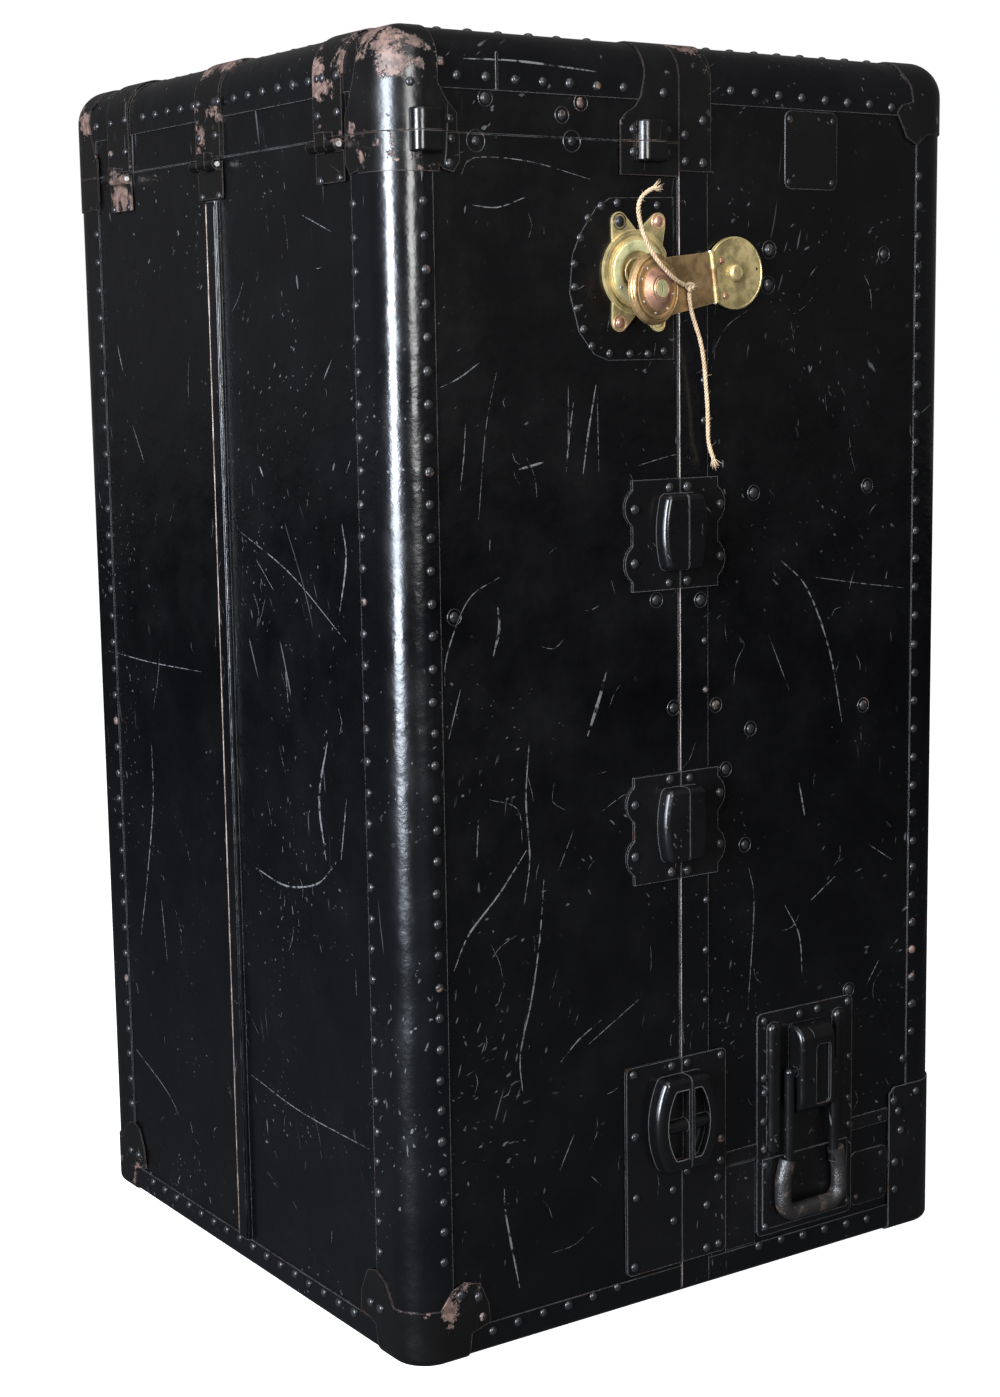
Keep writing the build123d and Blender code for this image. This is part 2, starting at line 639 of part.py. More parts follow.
# Carrying handle on the drawer half
hx0, hx1 = handle_x - handle_w / 2, handle_x + handle_w / 2
handle_plate = plate(hx0, hx1, handle_low, handle_high, 0, skin, 6)
handle_plate += block(hx0 + 6, hx1 - 6, -1, 0, handle_low + 6, grip_top + 2)
for side in (-1, 1):
    x = handle_x + side * 39
    ridge = block(x - 7, x + 7, -6, 1, grip_top + 5, handle_high - 10)
    ridge = fillet(ridge.edges().filter_by(Axis.Y), 6)
    ridge = fillet(ridge.faces().sort_by(Axis.Y)[0].edges(), 4.5)
    handle_plate += ridge
parts["handle_plate"] = one(handle_plate)
bracket = block(handle_x - 20.5, handle_x + 20.5, -19, 0, 142, 224)
bracket = fillet(bracket.edges().filter_by(Axis.X).group_by(Axis.Y)[0], 15)
bracket = fillet(bracket.edges().filter_by(Axis.Y), 4)
bracket -= fillet(block(handle_x - 3, handle_x + 14, -20, -16, 150, 206).edges().filter_by(Axis.Y), 4)
bracket -= rod((0, -bail_out, handle_z), (width, -bail_out, handle_z), bail_r + fit)
parts["handle_bracket"] = one(bracket)
arm = []
for side in (-1, 1):
    x = handle_x + side * bail_half
    arm.append(rod((x, -bail_out, handle_z), (x, -bail_out, grip_top - 12), bail_r))
    arm.append(Pos(x, -bail_out, handle_z) * Sphere(bail_r))
bail = rod((handle_x - bail_half, -bail_out, handle_z), (handle_x + bail_half, -bail_out, handle_z), bail_r)
for piece in arm:
    bail += piece
grip_half = grip_w / 2 - grip_r
grip_route = [
    (-bail_half - 2, grip_top), (-grip_half, grip_top - 18), (-grip_half, grip_z),
    (grip_half, grip_z), (grip_half, grip_top - 18), (bail_half + 2, grip_top),
]
grip_path = FilletPolyline(*[(handle_x + x, -bail_out, z) for x, z in grip_route], radius=[20, 14, 14, 20])
grip = sweep(Plane(origin=grip_path @ 0, z_dir=grip_path % 0) * Circle(grip_r), path=grip_path)
parts["handle_grip"] = one(grip - bail)
parts["handle_bail"] = one(bail)

# Hat shelf and drawers
inner_front = skin + wall
inner_back = depth - skin - wall
lined_front = inner_front + lining_t
lined_back = inner_back - lining_t
lined_right = width - skin - wall - lining_t
room = lined & block(seam_right + tongue_out + 4, width, 0, depth, 0, height)
parts["hat_shelf"] = room & block(0, width, 0, depth, shelf_z, shelf_z + shelf_t)
runners = []
for low, high in drawer_rows:
    for y0, y1 in ((lined_front, drawer_y + 8), (depth - drawer_y - 8, lined_back)):
        runners.append(room & block(0, width, y0, y1, low - runner_h / 2, low))
parts["drawer_runners"] = group(*runners)


def drawer(low, high):
    """An open-topped drawer with a front board, standing on its runners."""
    z0, z1 = low + 0.1, high - 12
    box = block(drawer_front_x, drawer_back_x, drawer_y, depth - drawer_y, z0, z1)
    b = drawer_board
    box -= block(
        drawer_front_x + b + 2, drawer_back_x - b, drawer_y + b, depth - drawer_y - b, z0 + 6, z1 + 5
    )
    return one(box)


def pull(low, high):
    """A ring pull bent from rod, with two feet on the drawer front."""
    z = (low + high) / 2
    y = depth / 2
    bar = rod((drawer_front_x - 14, y - 40, z), (drawer_front_x - 14, y + 40, z), 4)
    for side in (-1, 1):
        bar += rod((drawer_front_x, y + side * 34, z), (drawer_front_x - 14, y + side * 34, z), 4)
        bar += rod((drawer_front_x, y + side * 34, z), (drawer_front_x - 2, y + side * 34, z), 9)
    return one(bar)


for n, (low, high) in enumerate(drawer_rows, start=1):
    parts[f"drawer_{n}"] = drawer(low, high)
    parts[f"drawer_{n}_pull"] = pull(low, high)

# Hanger rails, the trolley that slides out on them, and its hangers
rails = []
for y in rail_y:
    rail = rod((lined_front, y, rail_z), (rail_end, y, rail_z), rail_r)
    rail += rod((lined_front, y, rail_z), (lined_front + 3, y, rail_z), 14)
    rail += rod((rail_end - 3, y, rail_z), (rail_end, y, rail_z), 8)
    rails.append(rail)
parts["hanger_rails"] = group(*rails)
sleeve_x0, sleeve_x1 = lined_front + 4, lined_front + 54
mid_y = sum(rail_y) / 2
trolley = block(sleeve_x0, sleeve_x1, rail_y[0] - 9, rail_y[1] + 9, rail_z - 12, rail_z - 6)
for y in rail_y:
    trolley += rod((sleeve_x0, y, rail_z), (sleeve_x1, y, rail_z), 9)
    trolley -= rod((0, y, rail_z), (width, y, rail_z), rail_r + fit)
trolley += block(sleeve_x0, sleeve_x0 + 8, mid_y - 8, mid_y + 8, hang_z, rail_z - 6)
hang_end = seam_left - 12
trolley += rod((sleeve_x0, mid_y, hang_z), (hang_end, mid_y, hang_z), hang_r)
trolley += rod((hang_end - 4, mid_y, hang_z), (hang_end, mid_y, hang_z), hang_r + 4)
parts["trolley"] = one(trolley)


def hanger(x):
    """A wooden coat hanger on its wire eye, hung on the trolley's bar."""
    eye = rod((x - 2, mid_y, hang_z), (x + 2, mid_y, hang_z), hang_r + 3.5)
    eye -= rod((x - 3, mid_y, hang_z), (x + 3, mid_y, hang_z), hang_r)
    stem = block(x - 2, x + 2, mid_y - 2.5, mid_y + 2.5, hang_z - 58, hang_z - hang_r - 1)
    arms = slab(
        [
            (mid_y - hanger_half, hang_z - 80), (mid_y, hang_z - 42), (mid_y + hanger_half, hang_z - 80),
            (mid_y + hanger_half, hang_z - 100), (mid_y, hang_z - 70), (mid_y - hanger_half, hang_z - 100),
        ],
        "x", x - 6, x + 6,
    )
    return one(eye + stem + arms)


parts["hangers"] = group(*[hanger(x) for x in (90, 130, 170, 210)])

# Everything is shifted so that the origin is the middle of the footprint
hung = ("string_knot", "string_upper", "string_lower")
box = Compound([s for n, p in parts.items() if n not in hung for s in p.solids()]).bounding_box()
home = (-(box.min.X + box.max.X) / 2, -(box.min.Y + box.max.Y) / 2, -box.min.Z)
print("home", [round(v, 4) for v in home])
print("size", [round(v, 2) for v in (box.size.X, box.size.Y, box.size.Z)])

os.makedirs("parts", exist_ok=True)
for name, piece in parts.items():
    export_step(Pos(*home) * piece, f"parts/{name}.step")
print("pieces", len(parts))
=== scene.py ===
# %% [markdown]
# This lesson dresses a wardrobe trunk, standing closed on its end. The plates, hinges
# and lock come from the packed model as they are. Here they get their finishes, and the
# small things are added: nails, rivets, thin strips and the twine tied to the hasp.

# %% Load the trunk
import json
import math
import random

import bmesh
import bpy
from mathutils import Matrix, Vector
from mathutils.bvhtree import BVHTree


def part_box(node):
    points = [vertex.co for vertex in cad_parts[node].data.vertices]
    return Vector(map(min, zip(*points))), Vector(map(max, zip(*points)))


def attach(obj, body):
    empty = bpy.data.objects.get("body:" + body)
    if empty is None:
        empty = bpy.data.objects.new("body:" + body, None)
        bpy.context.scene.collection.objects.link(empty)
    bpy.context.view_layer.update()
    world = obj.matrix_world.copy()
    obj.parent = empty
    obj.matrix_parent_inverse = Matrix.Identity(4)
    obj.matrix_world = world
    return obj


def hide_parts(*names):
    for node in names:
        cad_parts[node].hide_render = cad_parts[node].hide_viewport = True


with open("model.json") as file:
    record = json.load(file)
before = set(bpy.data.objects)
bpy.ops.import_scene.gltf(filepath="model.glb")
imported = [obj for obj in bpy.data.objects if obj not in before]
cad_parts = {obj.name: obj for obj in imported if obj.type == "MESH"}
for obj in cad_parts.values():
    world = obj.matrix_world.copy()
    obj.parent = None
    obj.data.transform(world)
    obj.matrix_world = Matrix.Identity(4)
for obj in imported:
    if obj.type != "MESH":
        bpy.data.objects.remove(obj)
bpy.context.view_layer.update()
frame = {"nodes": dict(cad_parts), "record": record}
nodes = frame["nodes"]
body_of_node = {n: b for b, ns in frame["record"]["behaviour"]["bodies"].items() for n in ns}
print("pieces loaded:", len(nodes))

# %% [markdown]
# A trunk is easiest to measure from its near bottom corner, in millimetres: x along the
# front, y to the back, z up. The panels lie 1.5 mm inside that corner and 3 mm above the
# floor, so the panel's own box tells where the corner is.

# %% Measure from the near bottom corner
MM = 0.001
PANEL_IN = 1.5 * MM
PANEL_UP = 3 * MM
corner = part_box("left_shell")[0] - Vector((PANEL_IN, PANEL_IN, PANEL_UP))
WIDTH = round((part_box("right_shell")[1].x - corner.x) / MM + PANEL_IN / MM)
DEPTH = round((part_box("right_shell")[1].y - corner.y) / MM + PANEL_IN / MM)
HEIGHT = round((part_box("right_shell")[1].z - corner.z) / MM + PANEL_UP / MM)
SEAM_X = 278.5
LID_Z = 993.5


def at(x, y, z):
    """A place measured in millimetres from the near bottom corner."""
    return corner + Vector((x, y, z)) * MM


def show(thing):
    """Puts a new object into the scene."""
    bpy.context.scene.collection.objects.link(thing)


print("near bottom corner:", [round(v, 4) for v in corner], "size in mm:", WIDTH, DEPTH, HEIGHT)

# %% [markdown]
# The camera comes first. Its place and lens were worked out from how the trunk's own
# edges run together in the photograph. It stands a little lower than the lock, about a
# metre to the left of the trunk, and leans by less than a degree.

# %% Camera
CAMERA_AT = (-933.2, -1512.5, 824.6)
AZIMUTH, ELEVATION, ROLL = (math.radians(a) for a in (-34.18, 8.53, -0.851))
LENS_MM = 59.2
back = Vector((
    math.sin(AZIMUTH) * math.cos(ELEVATION), -math.cos(AZIMUTH) * math.cos(ELEVATION), math.sin(ELEVATION)
))
level = (-back).cross(Vector((0, 0, 1))).normalized()
upward = level.cross(-back)
right = level * math.cos(ROLL) + upward * math.sin(ROLL)
up = upward * math.cos(ROLL) - level * math.sin(ROLL)
camera_data = bpy.data.cameras.new("camera")
camera_data.lens = LENS_MM
camera_data.sensor_width = 36
camera_data.clip_end = 50
camera = bpy.data.objects.new("camera", camera_data)
show(camera)
turn = Matrix((right, up, back)).transposed().to_4x4()
camera.matrix_world = Matrix.Translation(at(*CAMERA_AT)) @ turn
bpy.context.scene.camera = camera
bpy.context.scene.view_settings.view_transform = "Standard"
print("camera stands", round((at(*CAMERA_AT) - at(0, 0, 550)).length, 2), "m away")

# %% [markdown]
# Every finish is built from the same few nodes: the place on the trunk, noise of some
# size, and a ramp that turns noise into patches. A small helper class keeps the recipes
# short enough to read.


# %% A helper for making finishes
class Finish:
    """A material under construction, with short names for the nodes used most."""

    def __init__(self, name):
        self.material = bpy.data.materials.new(name)
        self.material.use_nodes = True
        self.tree = self.material.node_tree
        self.shader = self.tree.nodes["Principled BSDF"]
        self.place = self.add("ShaderNodeTexCoord").outputs["Object"]

    def add(self, kind, **settings):
        node = self.tree.nodes.new(kind)
        for key, value in settings.items():
            setattr(node, key, value)
        return node

    def join(self, source, socket):
        self.tree.links.new(source, socket)

    def fixed(self, **values):
        for key, value in values.items():
            self.shader.inputs[key.replace("_", " ")].default_value = value

    def paint(self, color, rough):
        self.join(color, self.shader.inputs["Base Color"])
        self.join(rough, self.shader.inputs["Roughness"])

    def mapped(self, source, setting, values):
        node = self.add("ShaderNodeMapping")
        node.inputs[setting].default_value = values
        self.join(source, node.inputs["Vector"])
        return node.outputs["Vector"]

    def turned(self, source, turn):
        """A place turned about the axes, in degrees."""
        return self.mapped(source, "Rotation", [math.radians(a) for a in turn])

    def stretched(self, scale, source=None):
        return self.mapped(source or self.place, "Scale", scale)

    def wandering(self, scale, amount):
        """The place, shifted by slow noise, so that straight marks turn into curves."""
        drift = self.add("ShaderNodeTexNoise")
        drift.inputs["Scale"].default_value = scale
        drift.inputs["Detail"].default_value = 1
        self.join(self.place, drift.inputs["Vector"])
        node = self.add("ShaderNodeVectorMath", operation="MULTIPLY_ADD")
        self.join(drift.outputs["Color"], node.inputs[0])
        node.inputs[1].default_value = (amount, amount, amount)
        self.join(self.place, node.inputs[2])
        return node.outputs["Vector"]

    def noise(self, scale, detail=4, rough=0.55, where=None):
        node = self.add("ShaderNodeTexNoise")
        node.inputs["Scale"].default_value = scale
        node.inputs["Detail"].default_value = detail
        node.inputs["Roughness"].default_value = rough
        self.join(where or self.place, node.inputs["Vector"])
        return node.outputs["Fac"]

    def remap(self, source, low, high, bottom=0.0, top=1.0, kind="LINEAR"):
        node = self.add("ShaderNodeMapRange", interpolation_type=kind)
        limits = {"From Min": low, "From Max": high, "To Min": bottom, "To Max": top}
        for name, value in limits.items():
            node.inputs[name].default_value = value
        self.join(source, node.inputs["Value"])
        return node.outputs["Result"]

    def patches(self, source, low, high):
        """0 below low, 1 above high, smooth between."""
        return self.remap(source, low, high, kind="SMOOTHSTEP")

    def span(self, source, low, high):
        """Noise, which keeps mostly between 0.3 and 0.7, stretched to run from low to high."""
        return self.remap(source, 0.3, 0.7, low, high)

    def math(self, kind, a, b):
        node = self.add("ShaderNodeMath", operation=kind, use_clamp=True)
        for socket, value in zip(node.inputs, (a, b)):
            if isinstance(value, (int, float)):
                socket.default_value = value
            else:
                self.join(value, socket)
        return node.outputs[0]

    def blend(self, amount, a, b):
        """Colour a where amount is 0, colour b where it is 1."""
        node = self.add("ShaderNodeMix", data_type="RGBA")
        self.join(amount, node.inputs["Factor"])
        for socket, value in ((node.inputs[6], a), (node.inputs[7], b)):
            if isinstance(value, tuple):
                socket.default_value = (*value, 1)
            else:
                self.join(value, socket)
        return node.outputs[2]

    def edges(self, radius):
        """1 along sharp edges, where a rounded normal differs from the real one."""
        soft = self.add("ShaderNodeBevel", samples=4)
        soft.inputs["Radius"].default_value = radius
        plain = self.add("ShaderNodeNewGeometry")
        dot = self.add("ShaderNodeVectorMath", operation="DOT_PRODUCT")
        self.join(soft.outputs["Normal"], dot.inputs[0])
        self.join(plain.outputs["Normal"], dot.inputs[1])
        return self.math("SUBTRACT", 1.0, dot.outputs["Value"])

    def closeness(self, spot, near, far):
        """1 within a distance of a spot, falling to 0 further off."""
        gap = self.add("ShaderNodeVectorMath", operation="DISTANCE")
        self.join(self.place, gap.inputs[0])
        gap.inputs[1].default_value = spot
        return self.remap(gap.outputs["Value"], far, near)

    def bump(self, height, depth):
        node = self.add("ShaderNodeBump")
        node.inputs["Strength"].default_value = 1
        node.inputs["Distance"].default_value = depth
        self.join(height, node.inputs["Height"])
        self.join(node.outputs["Normal"], self.shader.inputs["Normal"])


print("short names:", [name for name in vars(Finish) if name[0] != "_"])

# %% [markdown]
# The panels and bindings are black enamel. Decades of travel leave three marks on it:
# fine scratches along the grain of handling, chips that show grey or brown, and edges
# rubbed bare. Scratches are noise stretched until it turns into lines.


# %% How enamel gets scratched
SCRATCH_GREY = (0.05, 0.05, 0.052)
SCRATCH_STRETCH = (230, 230, 3.2)
SCRATCH_FROM = 0.72
SCRATCH_SETS = (((12, -8, 0), 6), ((-38, 34, 0), 5), ((52, -55, 0), 7))


def scratch_lines(f):
    """Fine lines in three directions, each set showing only in some areas."""
    path = f.wandering(4, 0.09)
    lines = None
    for turn, area_size in SCRATCH_SETS:
        along = f.stretched(SCRATCH_STRETCH, f.turned(path, turn))
        one = f.patches(f.noise(1, 1, 0.5, along), SCRATCH_FROM, SCRATCH_FROM + 0.05)
        one = f.math("MULTIPLY", one, f.patches(f.noise(area_size, 3, 0.6), 0.52, 0.62))
        lines = one if lines is None else f.math("MAXIMUM", lines, one)
    return lines


print("sets of fine scratches:", len(SCRATCH_SETS))

# %% [markdown]
# One recipe serves every black part: the colour of the coat and of what shows under it,
# the gloss, how much is chipped away, and how far the edges are rubbed.


# %% Black enamel, plain and worn
PALE_RIM = (0.085, 0.083, 0.082)
WORST_WITHIN, WORST_FADES_BY, WORST_ADDS = 0.03, 0.13, 0.075


def enamel(
    name, coat, worn, gloss, wear=(70, 0.74), rub=0.1, rim=PALE_RIM, dents=0.0008, worst_near=None
):
    """Wear is the size of the chips and the level of noise that they start from."""
    f = Finish(name)
    lines = scratch_lines(f)
    chip_size, chips_from = wear
    spread = f.noise(chip_size, 10, 0.72)
    if worst_near:
        near = f.closeness(worst_near, WORST_WITHIN, WORST_FADES_BY)
        spread = f.math("ADD", spread, f.math("MULTIPLY", near, WORST_ADDS))
    chips = f.patches(spread, chips_from, chips_from + 0.025)
    uneven = f.span(f.noise(38, 5, 0.7), 0.2, 1.5)
    rubbed = f.patches(f.math("MULTIPLY", f.edges(0.0013), uneven), rub, rub + 0.08)
    lighter = tuple(min(1, 2.3 * c) for c in worn)
    tone = f.blend(f.patches(f.noise(150, 6, 0.7), 0.42, 0.6), worn, lighter)
    haze = f.patches(f.noise(5, 6, 0.65), 0.5, 0.85)
    color = f.blend(haze, coat, tuple(2.2 * c for c in coat))
    color = f.blend(lines, color, SCRATCH_GREY)
    color = f.blend(chips, color, tone)
    color = f.blend(rubbed, color, f.blend(f.patches(f.noise(30, 3), 0.62, 0.7), rim, tone))
    bare = f.math("MAXIMUM", chips, rubbed)
    rough = f.span(f.noise(14, 6, 0.65), gloss - 0.06, gloss + 0.12)
    f.paint(color, f.math("ADD", rough, f.math("MULTIPLY", f.math("MAXIMUM", bare, lines), 0.3)))
    height = f.math("SUBTRACT", f.noise(24, 5, 0.55), f.math("MULTIPLY", bare, 0.2))
    f.bump(height, dents)
    f.fixed(Specular_IOR_Level=0.42)
    return f.material


DARK_GREY = (0.015, 0.014, 0.013)
BROWN = (0.055, 0.027, 0.017)
DULL_BROWN = (0.048, 0.034, 0.028)
PINK = (0.062, 0.038, 0.03)
panel_black = enamel(
    "panel_black", (0.0008, 0.0008, 0.001), DARK_GREY, 0.25, wear=(60, 0.77), rub=0.12
)
binding_black = enamel(
    "binding_black", (0.0014, 0.0014, 0.0018), PINK, 0.2, wear=(34, 0.7), rub=0.1, dents=0.0015
)
cap_worn = enamel(
    "cap_worn", (0.002, 0.0018, 0.0018), PINK, 0.24, wear=(16, 0.572), rub=0.06,
    rim=DULL_BROWN, dents=0.0014, worst_near=at(8, 30, 1040),
)
fitting_black = enamel(
    "fitting_black", (0.0024, 0.0023, 0.0025), BROWN, 0.22, wear=(42, 0.7), rub=0.06
)
nail_black = enamel(
    "nail_black", (0.012, 0.0115, 0.012), PINK, 0.24, wear=(24, 0.6), rub=0.5, dents=0.0003
)
print("enamels:", [m.name for m in (panel_black, binding_black, cap_worn, fitting_black, nail_black)])

# %% [markdown]
# The lock is brass that was polished for years and then left alone: olive and dull in
# the hollows, golden on rims that hands still touch, coppery on the dome.


# %% Metals
def old_metal(name, bright, dull, rough, spots=0.5, edge_at=0.05, metal=0.7):
    f = Finish(name)
    tarnish = f.patches(f.noise(55, 8, 0.65), spots - 0.1, spots + 0.14)
    rub = f.patches(f.edges(0.0014), edge_at, edge_at + 0.1)
    fine = f.patches(f.noise(260, 5, 0.7), 0.58, 0.7)
    color = f.blend(tarnish, bright, dull)
    color = f.blend(f.math("MULTIPLY", fine, 0.5), color, tuple(0.35 * c for c in dull))
    color = f.blend(rub, color, tuple(min(1, 1.35 * c) for c in bright))
    f.paint(color, f.span(f.noise(40, 6, 0.7), rough - 0.08, rough + 0.14))
    f.bump(f.noise(90, 8, 0.7), 0.0005)
    f.fixed(Metallic=metal)
    return f.material


brass_lock = old_metal("brass_lock", (0.60, 0.47, 0.22), (0.27, 0.22, 0.10), 0.34)
brass_pale = old_metal("brass_pale", (0.72, 0.68, 0.36), (0.50, 0.49, 0.25), 0.38)
brass_hasp = old_metal("brass_hasp", (0.46, 0.30, 0.14), (0.22, 0.14, 0.065), 0.32)
copper_dome = old_metal("copper_dome", (0.50, 0.28, 0.19), (0.24, 0.12, 0.085), 0.3)
steel_worn = old_metal("steel_worn", (0.62, 0.60, 0.57), (0.30, 0.27, 0.24), 0.3)
seam_metal = old_metal("seam_metal", (0.20, 0.16, 0.135), (0.05, 0.03, 0.022), 0.45, spots=0.48)
metals = (brass_lock, brass_pale, brass_hasp, copper_dome, steel_worn, seam_metal)
print("metals:", [m.name for m in metals])

# %% [markdown]
# Inside, the trunk is lined and fitted in wood. These finishes show only when it is
# opened, and they still need grain and weave at the right scale.


# %% Wood, lining, leather and twine
def stained_wood():
    f = Finish("stained_wood")
    grain = f.noise(1, 6, 0.6, f.stretched((220, 9, 220)))
    color = f.blend(f.patches(grain, 0.35, 0.65), (0.20, 0.095, 0.04), (0.36, 0.19, 0.085))
    f.paint(color, f.span(grain, 0.35, 0.5))
    f.bump(grain, 0.0003)
    return f.material


def lining_cloth():
    f = Finish("lining_cloth")
    weave = []
    for direction in ("X", "Y", "Z"):
        wave = f.add("ShaderNodeTexWave", wave_type="BANDS", bands_direction=direction)
        wave.inputs["Scale"].default_value = 320
        wave.inputs["Distortion"].default_value = 0.6
        f.join(f.place, wave.inputs["Vector"])
        weave.append(wave.outputs["Fac"])
    threads = f.math("MULTIPLY", f.math("ADD", f.math("ADD", weave[0], weave[1]), weave[2]), 0.4)
    aged = f.blend(f.patches(f.noise(7, 6), 0.35, 0.7), (0.36, 0.27, 0.17), (0.24, 0.165, 0.10))
    f.paint(f.blend(threads, aged, (0.42, 0.33, 0.22)), f.span(f.noise(60, 3), 0.75, 0.95))
    f.bump(threads, 0.0003)
    return f.material


def grip_leather():
    f = Finish("grip_leather")
    cells = f.add("ShaderNodeTexVoronoi", feature="DISTANCE_TO_EDGE")
    cells.inputs["Scale"].default_value = 420
    f.join(f.place, cells.inputs["Vector"])
    worn = f.patches(f.noise(40, 6, 0.7), 0.52, 0.64)
    color = f.blend(worn, (0.01, 0.009, 0.009), (0.075, 0.05, 0.038))
    f.paint(color, f.span(f.noise(30, 4), 0.28, 0.48))
    f.bump(cells.outputs["Distance"], 0.0006)
    return f.material


def twine_fibre():
    f = Finish("twine_fibre")
    fibre = f.noise(900, 4, 0.7)
    pale = f.blend(f.patches(fibre, 0.35, 0.65), (0.27, 0.175, 0.095), (0.47, 0.35, 0.215))
    color = f.blend(f.patches(f.noise(45, 4, 0.6), 0.55, 0.75), pale, (0.30, 0.16, 0.075))
    f.paint(color, f.span(fibre, 0.8, 0.95))
    f.bump(fibre, 0.0005)
    f.fixed(Sheen_Weight=0.15)
    return f.material


def scuff_grey():
    """What a hard knock leaves on enamel: a pale, broken, chalky line."""
    f = Finish("scuff_grey")
    color = f.blend(f.noise(180, 4), (0.06, 0.06, 0.063), (0.2, 0.198, 0.195))
    broken = f.patches(f.noise(150, 6, 0.7), 0.4, 0.56)
    f.join(f.math("MULTIPLY", broken, 0.75), f.shader.inputs["Alpha"])
    f.paint(color, f.span(f.noise(200, 3), 0.5, 0.8))
    return f.material


wood = stained_wood()
lining = lining_cloth()
leather = grip_leather()
twine = twine_fibre()
scuff = scuff_grey()
print("soft and wooden finishes:", [m.name for m in (wood, lining, leather, twine, scuff)])

# %% [markdown]
# Each packed piece now takes one finish in place of the plain colour it came with. A
# table from finish to pieces is shorter, and easier to check, than a line for each.

# %% Dress the packed pieces
finishes = {
    panel_black: "left_shell lid_shell right_shell lock_backing",
    binding_black: (
        "left_corner_bindings left_bottom_binding right_bottom_binding lid_binding closing_band "
        "right_top_binding right_corner_bindings left_centre_band"
    ),
    cap_worn: (
        "left_foot_caps lid_caps lid_collars seam_clamps right_top_caps "
        "lid_hinge_leaves_lower lid_hinge_leaves_upper lid_dowels_upper"
    ),
    fitting_black: (
        "right_foot_caps lid_dowels_lower seam_dowels_left seam_dowels_right foot_catch_left "
        "foot_catch_right handle_plate handle_bracket handle_bail back_hinge_leaves_left "
        "back_hinge_leaves_right"
    ),
    brass_lock: "lock_base hasp_disc hasp_pivot",
    brass_hasp: "hasp_strap",
    copper_dome: "hasp_dome",
    brass_pale: "lock_plug",
    steel_worn: (
        "closing_tongue hanger_rails trolley hasp_pin lid_hinge_pins back_hinge_pins "
        "drawer_1_pull drawer_2_pull drawer_3_pull drawer_4_pull"
    ),
    wood: "hat_shelf drawer_runners hangers drawer_1 drawer_2 drawer_3 drawer_4",
    lining: "left_lining right_lining",
    leather: "handle_grip",
    twine: "string_knot string_upper string_lower",
}
dressed = set()
for finish, names in finishes.items():
    for name in names.split():
        nodes[name].data.materials.clear()
        nodes[name].data.materials.append(finish)
        dressed.add(name)
print("dressed", len(dressed), "of", len(nodes), "pieces; left:", sorted(set(nodes) - dressed))

# %% [markdown]
# The twine is drawn as a route first: a smooth spline through the same points as the
# solid stand-in. Real twine is three yarns laid together, so each end of it is built as
# three thin tubes that wind about the route.

# %% The routes of the two loose ends
ROUTES = {
    "string_upper": [
        (270.5, -20.5, 877.5), (258.6, -24, 880.5), (245.1, -29, 887.5), (231.4, -31, 897.9),
        (223.3, -29, 910.7), (217.8, -28, 924.7), (213.6, -29, 939.6), (219.1, -31.5, 951),
        (230.3, -33, 954.8),
    ],
    "string_lower": [
        (274.5, -19, 872), (276.1, -18.5, 859.5), (283.9, -16, 845.5), (291.6, -14, 830.5),
        (295.8, -12.5, 814), (298.4, -11.5, 797.1), (300.5, -11, 779.7), (301.5, -10.5, 762.7),
        (302, -10, 745.3), (309.5, -10, 731.3),
    ],
}
TWINE_THICK = 3.6 * MM


def route_points(name, places):
    """Points along the smooth line that a route's corners steer."""
    curve = bpy.data.curves.new(name + "_route", "CURVE")
    curve.dimensions = "3D"
    curve.resolution_u = 12
    spline = curve.splines.new("NURBS")
    spline.points.add(len(places) - 1)
    for point, place in zip(spline.points, places):
        point.co = (*at(*place), 1)
    spline.order_u = 3
    spline.use_endpoint_u = True
    holder = bpy.data.objects.new(name + "_route", curve)
    line = bpy.data.meshes.new_from_object(holder)
    points = [v.co.copy() for v in line.vertices]
    bpy.data.objects.remove(holder)
    bpy.data.meshes.remove(line)
    return points


def length_of(points):
    return sum((b - a).length for a, b in zip(points, points[1:]))


routes = {name: route_points(name, places) for name, places in ROUTES.items()}
print("loose ends, in metres:", {name: round(length_of(p), 4) for name, p in routes.items()})

# %% [markdown]
# A tube is a ring of vertices carried along a line. To keep the ring from spinning, each
# ring's frame is the last one turned by as little as the line turns.


# %% Tubes along a line
def frames_along(points):
    """A pair of square directions at each point, turning as little as possible."""
    side = Vector((0, 0, 1)).cross(points[1] - points[0])
    side = side.normalized() if side.length > 1e-9 else Vector((1, 0, 0))
    out = []
    for i, point in enumerate(points):
        a, b = points[max(i - 1, 0)], points[min(i + 1, len(points) - 1)]
        way = (b - a).normalized()
        side = (side - way * side.dot(way)).normalized()
        out.append((point, side, way.cross(side)))
    return out


def add_tube(mesh, points, radii, sides=8):
    """A closed tube in a bmesh, with a radius for each point."""
    rings = []
    for (point, side, other), radius in zip(frames_along(points), radii):
        ring = []
        for k in range(sides):
            angle = 2 * math.pi * k / sides
            over, along = math.cos(angle), math.sin(angle)
            ring.append(mesh.verts.new(point + side * radius * over + other * radius * along))
        rings.append(ring)
    for low, high in zip(rings, rings[1:]):
        for k in range(sides):
            after = (k + 1) % sides
            mesh.faces.new((low[k], low[after], high[after], high[k]))
    mesh.faces.new(list(reversed(rings[0])))
    mesh.faces.new(rings[-1])


